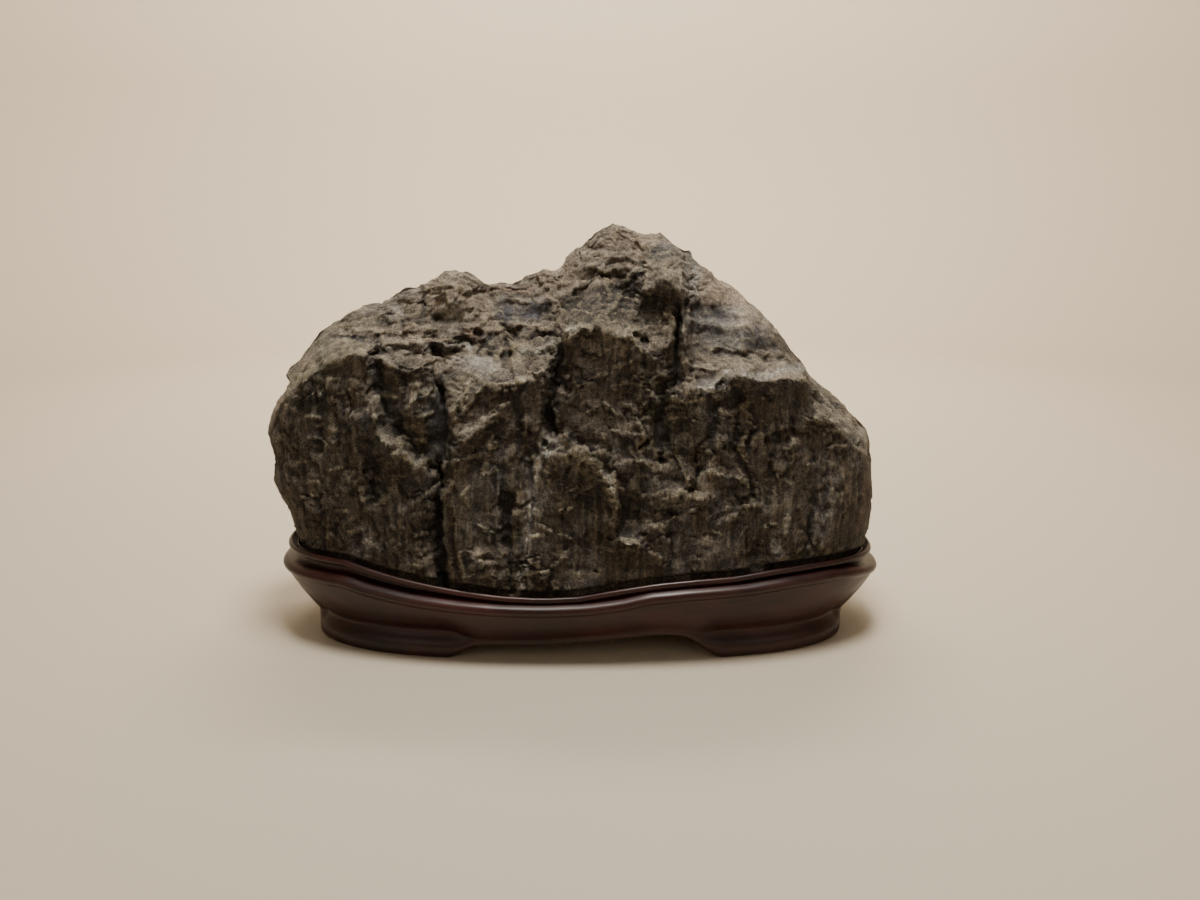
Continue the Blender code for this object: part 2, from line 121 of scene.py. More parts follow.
# Strokes: (push, width a, width b, [(x, z), ...]), mm. Push is toward the viewer, negative cuts
# in. Width a is on the left of a stroke drawn downward and under one drawn rightward.
# Lumps: (push, x, z, half width, half height).
FRONT_STROKES = [
    # alcoves, the deep crevice and the pillars beside it
    (-7, 8, 12, [(-127, 212), (-123, 190), (-122, 166)]),
    (-11, 12, 7, [(-88, 193), (-87, 184), (-85, 166), (-86, 130)]),
    (-15, 14, 3, [(-88, 132), (-91, 106), (-91, 83), (-87, 60), (-85, 36)]),
    (6, 2, 34, [(-80, 150), (-83, 125), (-82, 105), (-81, 85), (-77, 62), (-74, 40)]),
    (5, 16, 5, [(-137, 217), (-130, 199), (-128, 178), (-126, 159), (-117, 150), (-101, 135),
                (-91, 127)]),
    (4, 9, 3, [(-69, 158), (-57, 167), (-46, 177)]),
    (-5, 7, 6, [(-45, 118), (-45, 85), (-43, 50)]),
    (-10, 8, 6, [(-8, 220), (-9, 201), (-13, 180), (-15, 160)]),
    (-14, 4, 7, [(66, 244), (64, 220), (64, 188)]),
    (-7, 8, 8, [(57, 190), (58, 170), (57, 143)]),
    (-4, 5, 5, [(90, 186), (90, 150)]),
    (-4, 5, 5, [(78, 147), (78, 116)]),
    (-4, 4, 6, [(-44, 228), (-45, 206)]),
    (-4, 6, 6, [(-150, 166), (-150, 136)]),
    # round pillar, upper face and ledges
    (8, 24, 3, [(-4, 146), (8, 146), (16, 139), (22, 132), (27, 120), (28, 100)]),
    (4, 14, 4, [(36, 262), (49, 267), (60, 264), (69, 256), (72, 246)]),
    (5, 22, 4, [(-2, 227), (8, 232), (15, 230), (29, 224), (39, 218)]),
    (5, 14, 5, [(60, 188), (84, 191), (93, 197), (106, 203), (117, 195), (128, 197), (146, 199)]),
    (3, 8, 4, [(30, 140), (46, 141), (51, 130), (56, 114)]),
    (3, 10, 3, [(57, 117), (86, 117)]),
    (3, 9, 3, [(50, 92), (67, 103)]),
    (3, 9, 3, [(26, 86), (43, 83), (56, 74)]),
    (-3, 3, 5, [(103, 151), (117, 129), (119, 112)]),
    (3, 4, 10, [(-121, 122), (-121, 82)]),
    # beds of the terrace and both shoulders
    (-4, 4, 6, [(-152, 223), (-129, 224)]),
    (3, 6, 4, [(-148, 215), (-124, 217)]),
    (4, 6, 4, [(-120, 222), (-98, 218)]),
    (-2, 4, 5, [(-100, 212), (-76, 213)]),
    (5, 7, 4, [(-84, 221), (-66, 226), (-52, 221)]),
    (3, 6, 6, [(-20, 243), (6, 254)]),
    (4, 8, 4, [(156, 172), (188, 166)]),
    (-4, 6, 4, [(92, 214), (116, 208), (138, 209)]),
]
FRONT_LUMPS = [
    (6, -146, 172, 15, 46), (4, -105, 172, 12, 34), (-6, -178, 133, 7, 18),
    (-7, -131, 128, 11, 22), (5, -62, 69, 12, 14), (-6, 38, 104, 12, 20), (-2, 36, 184, 7, 8),
    (7, -106, 250, 9, 9), (6, -76, 248, 15, 14), (-6, -87, 236, 5, 5), (-5, -118, 234, 5, 5),
    (-14, 48, 244, 26, 32), (5, -184, 198, 7, 7), (4, 167, 184, 7, 6), (-6, 127, 213, 14, 12),
    (5, 112, 236, 18, 12), (7, -186, 96, 16, 30), (6, -170, 60, 24, 14), (-5, -158, 92, 8, 24),
    (6, -200, 140, 16, 20), (5, 6, 270, 20, 12), (-4, 28, 256, 8, 10), (4, 176, 110, 12, 40),
    (-4, 155, 95, 7, 36), (-5, 120, 75, 14, 22), (5, 88, 70, 16, 24), (-5, -24, 236, 16, 9),
]
BACK_STROKES = [
    (-12, 8, 12, [(-112, 236), (-118, 190), (-104, 140), (-110, 90), (-106, 40)]),
    (-10, 12, 7, [(-10, 232), (-16, 190), (-4, 150), (-14, 100)]),
    (-11, 9, 10, [(74, 250), (84, 200), (78, 150), (92, 96), (88, 40)]),
    (8, 26, 5, [(-200, 118), (-160, 134), (-124, 126), (-84, 150)]),
    (8, 24, 5, [(-60, 92), (-20, 108), (30, 98), (64, 120)]),
    (7, 24, 5, [(96, 150), (132, 138), (170, 150), (206, 132)]),
    (6, 5, 26, [(30, 236), (26, 190), (36, 150), (30, 120)]),
    (-8, 8, 6, [(-60, 236), (-54, 196), (-62, 160)]),
    (-6, 7, 9, [(148, 190), (156, 140), (148, 86), (152, 40)]),
    (7, 6, 20, [(-150, 110), (-158, 74), (-150, 40)]),
]
BACK_LUMPS = [
    (10, -140, 92, 30, 34), (9, -58, 60, 34, 26), (12, 30, 176, 30, 40), (-8, 2, 70, 26, 22),
    (9, 126, 80, 26, 40), (8, -80, 226, 22, 18), (-8, -150, 176, 20, 16), (7, 190, 92, 18, 36),
    (8, 40, 244, 20, 16), (-7, 60, 120, 16, 22), (6, -190, 90, 16, 30),
]

# ---- finer relief, too small for the CAD solid --------------------------------------------------
FINE_STROKES = [
    # broad hollows beside the pillars
    (-7, 8, 19, [(-125, 211), (-126, 192), (-122, 176), (-112, 160), (-100, 148)]),
    (-5, 14, 8, [(-87, 190), (-86, 172), (-87, 144)]),
    (-5, 9, 11, [(-14, 218), (-15, 200), (-15, 180), (-15, 162)]),
    (-4, 9, 7, [(-28, 147), (-28, 126), (-30, 96), (-34, 72)]),
    (-3, 8, 5, [(-160, 190), (-162, 172), (-166, 150)]),
    (-3, 6, 8, [(-136, 150), (-134, 130), (-134, 112)]),
    (-2.5, 5, 6, [(46, 142), (44, 124), (42, 100)]),
    (-3, 5, 5, [(87, 182), (87, 166), (86, 150)]),
    (-2.5, 4, 5, [(106, 190), (105, 170), (104, 150)]),
    (-2, 4, 6, [(80, 150), (79, 134), (78, 120)]),
    (-2, 4, 4, [(130, 170), (130, 140), (128, 110)]),
    (2, 5, 7, [(142, 150), (142, 120), (142, 84)]),
    (2, 4, 5, [(168, 150), (169, 120), (171, 88)]),
    (-2, 4, 4, [(156, 150), (157, 120), (156, 84)]),
    # pillar edges and the groove left of the vein
    (2, 4, 4, [(-134, 212), (-128, 202), (-126, 186), (-128, 170)]),
    (1.6, 3, 2, [(-117, 142), (-116, 120), (-116, 100), (-117, 84)]),
    (-1.6, 3, 3, [(-121, 140), (-121, 116), (-120, 96)]),
    (-1.8, 3, 4, [(-42, 120), (-42, 92), (-40, 64)]),
    (1.4, 2, 3, [(8, 140), (9, 110), (8, 80)]),
    (-1.4, 2, 2, [(3, 136), (3, 100), (2, 66)]),
    (-1.4, 2, 2, [(15, 124), (16, 96), (15, 66)]),
    (-1.2, 2, 2, [(-7, 136), (-8, 100), (-8, 80)]),
    (-1.4, 2, 2, [(-38, 186), (-37, 160), (-36, 146)]),
    (1.2, 2, 2, [(-33, 186), (-32, 164), (-30, 150)]),
    # beds and hollows of the left terrace
    (-3.5, 3, 3, [(-146, 223), (-138, 223), (-126, 221)]),
    (2, 4, 2, [(-150, 206), (-144, 212), (-134, 215), (-127, 210)]),
    (2, 3, 2, [(-136, 228), (-120, 228), (-100, 228), (-84, 226)]),
    (-1.8, 1.5, 2, [(-124, 224), (-108, 222), (-90, 221)]),
    (1.8, 3, 2, [(-122, 219), (-106, 219), (-88, 219), (-70, 218)]),
    (-0.9, 2, 2.5, [(-98, 215), (-88, 215), (-78, 215), (-68, 213)]),
    (-1.2, 1.5, 1.5, [(-110, 211), (-98, 212), (-84, 211), (-74, 209)]),
    (2, 3, 2, [(-125, 211), (-116, 204), (-106, 201), (-94, 202)]),
    (-1.6, 4, 4, [(-107, 208), (-101, 207)]),
    (3, 4, 3, [(-128, 239), (-120, 244), (-113, 245)]),
    (-3, 2, 2, [(-112, 243), (-102, 242), (-94, 243)]),
    (-3, 5, 3, [(-93, 256), (-94, 246), (-95, 236)]),
    (-2.5, 2, 2, [(-138, 233), (-130, 234)]),
    # left peak: thin curved ribs
    (1.5, 2, 1.5, [(-88, 252), (-80, 260), (-72, 262)]),
    (1.5, 2, 1.5, [(-84, 246), (-78, 254), (-70, 257)]),
    (1.5, 2, 1.5, [(-66, 262), (-60, 254), (-56, 246)]),
    (-1.5, 1.5, 1.5, [(-72, 262), (-68, 254), (-66, 246)]),
    (2, 3, 2, [(-88, 238), (-80, 241), (-72, 238)]),
    (2.5, 3, 2, [(-74, 224), (-66, 230), (-58, 229)]),
    (-3, 3, 3, [(-70, 226), (-60, 225)]),
    # the middle hollow and the bright ridge under it
    (-3.5, 4, 4, [(-60, 212), (-54, 222)]),
    (-2.5, 3, 4, [(-44, 220), (-44, 208)]),
    (2, 2, 2, [(-47, 228), (-47, 212)]),
    (-2.5, 5, 5, [(-38, 224), (-26, 222), (-16, 225), (-10, 229)]),
    (3, 6, 3, [(-48, 213), (-36, 217), (-26, 214), (-16, 217), (-8, 222), (0, 229), (6, 233)]),
    (2.5, 5, 2.5, [(6, 233), (13, 230), (20, 225), (36, 222)]),
    (-1.4, 5, 4, [(9, 226), (16, 226)]),
    (2, 3, 2, [(-50, 231), (-38, 229), (-30, 230)]),
    (2, 2, 2, [(-36, 246), (-36, 232)]),
    (-2, 2, 2, [(-60, 250), (-46, 252), (-30, 252)]),
    # upper face and peak
    (2.5, 5, 2, [(33, 258), (38, 265), (45, 269), (53, 268), (59, 260)]),
    (1.8, 3, 2, [(24, 236), (29, 248), (36, 262)]),
    (-2, 4, 3, [(2, 250), (10, 254), (20, 262), (32, 264)]),
    (-2, 3, 3, [(18, 250), (20, 240)]),
    (1.6, 3, 2, [(4, 240), (14, 240), (22, 238)]),
    (-2, 3, 3, [(50, 276), (58, 276)]),
    (-1.6, 2, 2, [(2, 274), (12, 280), (18, 286)]),
    (-2.5, 2, 3, [(65, 257), (65, 242)]),
    (-2.5, 3, 3, [(45, 220), (44, 204)]),
    (1.8, 2, 2, [(56, 228), (57, 208)]),
    # right slope: large facets
    (-2, 8, 8, [(70, 240), (80, 238), (90, 236)]),
    (-1.6, 12, 10, [(80, 224), (94, 219), (106, 213)]),
    (2.5, 6, 5, [(74, 232), (86, 230), (102, 229), (114, 224)]),
    (-2.6, 9, 9, [(116, 210), (126, 213), (134, 217)]),
    (1.6, 3, 2, [(110, 206), (124, 204), (138, 208)]),
    (3, 7, 2.5, [(98, 199), (106, 198), (116, 196), (128, 199), (138, 201), (146, 203)]),
    (2, 3, 2, [(74, 206), (88, 204), (100, 204)]),
]
FINE_LUMPS = [
    (6, -73, 250, 14, 13), (3, -66, 240, 10, 8), (-3, -52, 246, 6, 8), (3, -102, 250, 10, 7),
    (-2, -106, 233, 4.5, 4), (2, -122, 236, 5, 4),
    (-2, -84, 234, 5.5, 5.5), (2.5, -79, 258, 7, 6), (2.5, -66, 258, 6, 5),
    (5, -176, 197, 8, 7), (-3, -160, 200, 12, 6), (-2.5, -17, 223, 7, 5), (2, -26, 240, 9, 9),
    (3, 7, 231, 6, 4), (2, 14, 284, 8, 6), (2, 27, 287, 6, 6), (3, 163, 186, 5, 4),
    (-3, 170, 179, 6, 4), (2, -22, 262, 8, 6), (-2, 42, 250, 5, 8), (3, -17, 154, 5, 5),
    (2.5, -6, 156, 4, 6), (3, 90, 256, 14, 8), (-2, 120, 214, 12, 8), (2, 68, 270, 7, 6),
]

# Broken ledges that catch the light: (height of the lit edge, points), drawn to the right, in relief
# and with a painted highlight.
CHIPS = [
    (2, [(-180, 183), (-172, 186), (-164, 187), (-158, 192), (-156, 197)]),
    (2, [(-173, 172), (-164, 171)]), (2.6, [(-172, 158), (-165, 157), (-160, 155)]),
    (1.8, [(-159, 165), (-152, 161)]), (1.8, [(-158, 157), (-153, 157), (-148, 160)]),
    (2.2, [(-130, 172), (-128, 164), (-126, 157), (-119, 152)]),
    (3.6, [(-118, 147), (-113, 148), (-108, 147)]),
    (2.4, [(-112, 146), (-107, 140), (-102, 136), (-97, 135)]),
    (2.2, [(-112, 157), (-104, 156), (-97, 155)]),
    (2, [(-101, 117), (-95, 121), (-89, 127), (-84, 130)]), (2.2, [(-105, 119), (-95, 119)]),
    (2, [(-180, 117), (-171, 119)]), (1.8, [(-163, 116), (-156, 118)]),
    (2, [(-141, 115), (-134, 117)]), (1.8, [(-133, 112), (-126, 113)]),
    (2, [(-151, 92), (-143, 93)]), (1.8, [(-159, 106), (-151, 106)]),
    (2, [(-138, 85), (-131, 78)]), (1.8, [(-113, 70), (-104, 67)]),
    (1.8, [(-184, 140), (-177, 142)]), (1.8, [(-160, 136), (-153, 138)]),
    (2, [(-176, 128), (-168, 127)]), (1.8, [(-146, 172), (-140, 170)]),
    (3.4, [(-108, 178), (-101, 183), (-96, 186), (-90, 189)]),
    (2.4, [(-125, 186), (-119, 186), (-114, 184)]), (2.2, [(-122, 170), (-113, 169)]),
    (2.2, [(-98, 172), (-91, 174)]), (3, [(-88, 137), (-84, 141), (-78, 143)]),
    (1.8, [(-110, 104), (-103, 106)]), (1.8, [(-108, 90), (-101, 92)]),
    (2, [(-72, 160), (-64, 165), (-56, 172), (-48, 179)]), (2.4, [(-77, 154), (-67, 158)]),
    (2.6, [(-63, 162), (-54, 167), (-46, 167)]), (3, [(-71, 144), (-62, 146)]),
    (1.8, [(-76, 118), (-70, 123)]), (3.8, [(-52, 191), (-40, 194), (-30, 196), (-24, 200)]),
    (3, [(-78, 178), (-73, 186), (-66, 195)]), (2.4, [(-74, 174), (-66, 184), (-60, 190)]),
    (2, [(-56, 150), (-50, 153)]), (1.8, [(-60, 132), (-52, 135)]),
    (2.2, [(-26, 137), (-22, 146), (-18, 151)]), (2.2, [(-19, 134), (-17, 142), (-13, 148)]),
    (2.4, [(-38, 55), (-33, 62), (-22, 65), (-15, 68), (-10, 74)]),
    (2, [(-12, 76), (-8, 74), (-4, 70)]), (2.2, [(-36, 66), (-32, 71), (-27, 75)]),
    (2.2, [(-31, 88), (-24, 92)]), (2, [(-23, 97), (-17, 93)]),
    (3.4, [(-4, 147), (2, 146), (8, 146), (13, 142), (19, 135), (24, 126), (27, 113)]),
    (2, [(-20, 189), (-15, 186), (-13, 178), (-11, 170)]),
    (2.4, [(24, 162), (32, 160), (41, 161)]), (2.2, [(25, 191), (33, 191)]),
    (1.8, [(20, 180), (27, 173)]), (2.2, [(38, 172), (44, 167), (47, 159)]),
    (2.2, [(37, 150), (41, 142), (47, 141), (52, 135)]), (2, [(52, 174), (59, 175)]),
    (1.8, [(41, 122), (46, 118), (51, 113)]), (2.4, [(29, 88), (38, 87), (46, 82), (51, 78)]),
    (2.2, [(34, 84), (42, 82)]), (2.2, [(51, 80), (59, 74)]), (2.6, [(51, 95), (59, 98)]),
    (2.2, [(-72, 60), (-61, 62), (-52, 60)]), (1.8, [(-78, 76), (-70, 79)]),
    (1.8, [(-63, 96), (-55, 91)]), (1.8, [(-8, 106), (-2, 108)]), (1.8, [(-4, 120), (1, 124)]),
    (2.2, [(7, 214), (16, 211)]), (2.4, [(27, 205), (36, 209)]), (2.4, [(20, 224), (28, 227)]),
    (2.2, [(30, 222), (39, 228)]), (2, [(13, 199), (22, 201)]), (2.2, [(38, 198), (45, 193)]),
    (2, [(2, 192), (9, 195)]), (2.4, [(46, 190), (53, 184)]), (2, [(51, 232), (57, 236)]),
    (2, [(41, 216), (48, 212)]), (1.8, [(-10, 91), (-3, 88)]), (1.8, [(14, 160), (20, 156)]),
    (1.8, [(6, 176), (13, 178)]),
    (3, [(62, 190), (70, 188), (80, 190), (92, 197)]),
    (2.8, [(62, 183), (76, 182), (84, 184), (94, 191)]), (2.4, [(61, 177), (72, 177)]),
    (2.2, [(69, 171), (78, 170)]), (2, [(60, 168), (66, 169)]), (2, [(94, 176), (101, 171)]),
    (1.8, [(108, 150), (112, 141), (117, 132), (119, 122), (121, 111)]),
    (3, [(89, 134), (94, 133), (100, 132)]), (2.8, [(59, 115), (67, 117), (76, 116), (85, 116)]),
    (2.4, [(61, 110), (73, 111)]), (2, [(77, 107), (85, 109)]), (2.2, [(55, 103), (66, 104)]),
    (2.2, [(103, 100), (108, 104), (113, 109), (119, 110)]), (1.8, [(66, 148), (70, 138), (75, 129)]),
    (2.2, [(54, 96), (60, 92), (63, 84)]), (1.8, [(106, 130), (112, 128)]),
    (2, [(150, 172), (160, 169), (170, 170), (179, 168)]),
    (2, [(163, 163), (174, 162), (184, 160)]), (1.8, [(165, 151), (172, 152), (180, 152)]),
    (1.8, [(122, 184), (128, 186)]), (1.8, [(112, 168), (118, 166)]), (1.6, [(134, 150), (140, 151)]),
    (1.6, [(150, 140), (156, 139)]), (1.6, [(126, 96), (133, 98)]), (1.6, [(92, 92), (98, 90)]),
]

# Places smoother than the rest: (share of the roughness lost, x, z, half width, half height).
SMOOTHED = [
    (0.6, 100, 226, 50, 34), (0.85, -64, 206, 18, 8), (0.55, -160, 218, 20, 20),
    (0.6, -120, 188, 9, 26), (0.6, -87, 170, 9, 44), (0.55, -28, 112, 9, 40),
    (0.4, 165, 118, 30, 50), (0.55, -33, 240, 22, 12), (0.35, -66, 110, 16, 40),
]

# ---- paint --------------------------------------------------------------------------------------
# pale colour painted as a highlight along the chips' lit edges
CHIP_HIGHLIGHT = (0.400, 0.365, 0.275)
BROWN = (0.080, 0.058, 0.038)
CLIFF = (0.062, 0.051, 0.038)
TAN = (0.285, 0.238, 0.183)
PINK = (0.320, 0.254, 0.197)
GREY = (0.205, 0.190, 0.170)
BLUE_GREY = (0.120, 0.120, 0.128)
YELLOW = (0.275, 0.235, 0.155)
PALE = (0.430, 0.415, 0.385)
WHITE = (0.600, 0.600, 0.590)
# near-black, painted as shade into hollows, crevices, slots and pits
DARK = (0.026, 0.022, 0.022)
OLIVE = (0.130, 0.125, 0.080)
SLATE = (0.034, 0.032, 0.033)
BLUE = (0.060, 0.064, 0.079)
RUST = (0.150, 0.085, 0.060)
STONE_TONE = 0.72                  # all of the stone's colours are multiplied by this

# (colour, strength, width a, width b, points), laid on in this order, after the lumps
PAINT_STROKES = [
    # dark upper face under the peak, then the right slope, its facets darkened with painted shade
    (CLIFF, 0.85, 22, 14, [(-4, 243), (12, 246), (30, 252)]),
    (CLIFF, 0.8, 14, 12, [(42, 238), (50, 250), (54, 258)]),
    (DARK, 0.7, 14, 10, [(-4, 243), (16, 247), (32, 250)]),
    (BROWN, 0.7, 8, 8, [(4, 262), (20, 262), (36, 254)]),
    (SLATE, 0.35, 9, 8, [(70, 238), (80, 236), (92, 236)]),
    (SLATE, 0.6, 9, 8, [(84, 222), (98, 222), (112, 221)]),
    (SLATE, 0.9, 8, 10, [(114, 217), (124, 217), (136, 216)]),
    (CLIFF, 0.85, 7, 7, [(78, 218), (84, 211), (100, 208), (118, 209), (138, 211)]),
    (CLIFF, 0.8, 9, 9, [(0, 237), (16, 233), (32, 236), (44, 233), (58, 226)]),
    (DARK, 0.6, 8, 8, [(18, 256), (18, 242)]), (SLATE, 0.6, 6, 6, [(47, 273), (60, 272)]),
    # saddle, left shoulder, hollows and the right shoulder; the dark strokes put painted shade into
    # the hollows
    (SLATE, 0.6, 4, 4, [(-48, 252), (-30, 251), (-8, 250)]),
    (OLIVE, 0.8, 9, 9, [(-182, 188), (-168, 199), (-152, 209), (-140, 217)]),
    (CLIFF, 0.65, 8, 8, [(-178, 187), (-164, 199), (-150, 209)]),
    (CLIFF, 0.6, 6, 6, [(-144, 234), (-128, 232), (-118, 230)]),
    (DARK, 0.6, 5, 5, [(-30, 204), (-14, 206)]), (DARK, 0.6, 4, 5, [(-22, 219), (-12, 223)]),
    (DARK, 0.65, 8, 7, [(-128, 180), (-120, 164), (-108, 152), (-92, 140)]),
    (CLIFF, 0.75, 7, 5, [(-78, 176), (-72, 186), (-62, 192), (-44, 195)]),
    (DARK, 0.6, 9, 9, [(148, 178), (160, 176), (172, 162), (182, 152)]),
    (DARK, 0.65, 10, 7, [(112, 205), (124, 206)]),
    (CLIFF, 0.85, 7, 8, [(124, 224), (133, 216), (138, 208)]),
    # painted light: this pale stroke lifts the shadow of the bed slot
    (PALE, 0.55, 4, 4, [(-122, 216), (-95, 216), (-66, 217)]),
    (CLIFF, 0.6, 5, 5, [(-62, 214), (-46, 212)]), (CLIFF, 0.6, 6, 6, [(42, 220), (43, 208)]),
    # beds of the left terrace, with painted shade in their slots
    (SLATE, 0.8, 3, 3.5, [(-152, 223), (-142, 223), (-129, 220)]),
    (SLATE, 0.65, 3, 2.5, [(-126, 234), (-116, 233), (-103, 234)]),
    (SLATE, 0.7, 5, 5, [(-112, 209), (-98, 208)]),
    (SLATE, 0.6, 4, 5, [(-38, 223), (-26, 222), (-14, 226)]),
    # the pale column under the white spot
    (GREY, 0.9, 8, 8, [(-26, 148), (-27, 128), (-29, 112), (-31, 92)]),
    (PALE, 0.7, 3, 4, [(-26, 138), (-28, 120), (-30, 104), (-33, 88)]),
    (PALE, 0.85, 4, 4, [(-31, 94), (-33, 78), (-35, 60), (-38, 50)]),
    (PALE, 0.8, 3, 3, [(-19, 152), (-23, 142), (-26, 128)]),
    (PALE, 0.55, 2, 2, [(-12, 147), (-16, 138), (-19, 128)]),
    # ridges and ledges that catch the light, with a painted highlight
    (YELLOW, 0.8, 7, 3, [(-50, 212), (-36, 217), (-26, 214), (-16, 217), (-8, 222), (2, 231)]),
    (PALE, 0.6, 4, 3, [(-34, 214), (-22, 214), (-10, 221), (3, 232), (9, 233)]),
    (YELLOW, 0.75, 5, 3, [(4, 233), (13, 230), (20, 225), (38, 222)]),
    (YELLOW, 0.7, 5, 5, [(-78, 176), (-74, 186), (-68, 197)]),
    (YELLOW, 0.9, 9, 3, [(-4, 146), (8, 145), (16, 139), (23, 128), (27, 112)]),
    (PALE, 0.55, 5, 2, [(0, 145), (8, 144), (16, 138), (22, 129), (25, 118)]),
    (YELLOW, 0.45, 3, 3, [(33, 258), (38, 265), (45, 269), (53, 268)]),
    (PALE, 0.75, 5, 4, [(98, 200), (106, 199), (116, 197), (128, 200), (138, 202), (147, 204)]),
    (PALE, 0.45, 5, 3, [(62, 188), (76, 187), (88, 190), (98, 198)]),
    (TAN, 0.5, 5, 4, [(72, 206), (90, 204), (112, 205), (138, 208)]),
    (PALE, 0.55, 3, 3, [(-108, 179), (-101, 184), (-91, 189)]),
    # alcoves, the crevice and the grooves between pillars, with painted shade in their depths
    (BLUE_GREY, 0.75, 6, 8, [(-96, 198), (-87, 194), (-86, 170), (-87, 140)]),
    (BLUE_GREY, 0.5, 6, 6, [(-126, 206), (-123, 186), (-119, 170)]),
    (DARK, 0.75, 7, 3, [(-88, 134), (-90, 108), (-86, 80), (-84, 60)]),
    (DARK, 0.5, 6, 6, [(-11, 216), (-12, 198), (-14, 178), (-13, 160)]),
    (DARK, 0.7, 3, 4, [(66, 244), (65, 222), (64, 202)]),
    (DARK, 0.4, 4, 7, [(-123, 200), (-118, 184), (-110, 170)]),
    (DARK, 0.4, 5, 5, [(52, 186), (54, 166), (54, 146)]),
    (DARK, 0.45, 4, 5, [(88, 180), (88, 164), (86, 150)]),
    (DARK, 0.3, 5, 6, [(-162, 186), (-165, 166), (-168, 146)]),
    (DARK, 0.3, 6, 6, [(-136, 150), (-134, 130), (-134, 112)]),
    # painted shade in the slots and pits of the ground above the cliff, then faint streaks
    (DARK, 0.55, 3, 3, [(-146, 223), (-138, 223), (-126, 221)]),
    (SLATE, 0.35, 2, 2, [(-99, 215), (-88, 215), (-78, 215)]),
    (DARK, 0.8, 3.5, 3, [(-94, 255), (-94, 244), (-96, 232)]),
    (DARK, 0.65, 2, 2.5, [(-114, 242), (-105, 241), (-96, 243)]),
    (DARK, 0.6, 4, 4, [(-38, 223), (-26, 221), (-16, 224)]),
    (DARK, 0.45, 3, 4, [(-44, 222), (-44, 206)]),
    (DARK, 0.45, 4, 4, [(-60, 214), (-54, 222)]),
    (RUST, 0.6, 4, 4, [(-62, 252), (-46, 253), (-30, 253)]),
    (RUST, 0.35, 5, 5, [(190, 155), (191, 130), (190, 95)]),
    (GREY, 0.45, 3, 4, [(143, 112), (142, 84)]), (GREY, 0.3, 2, 2, [(170, 118), (171, 88)]),
    (GREY, 0.3, 1.5, 1.5, [(133, 160), (132, 130)]), (GREY, 0.3, 1.5, 1.5, [(138, 156), (138, 132)]),
]
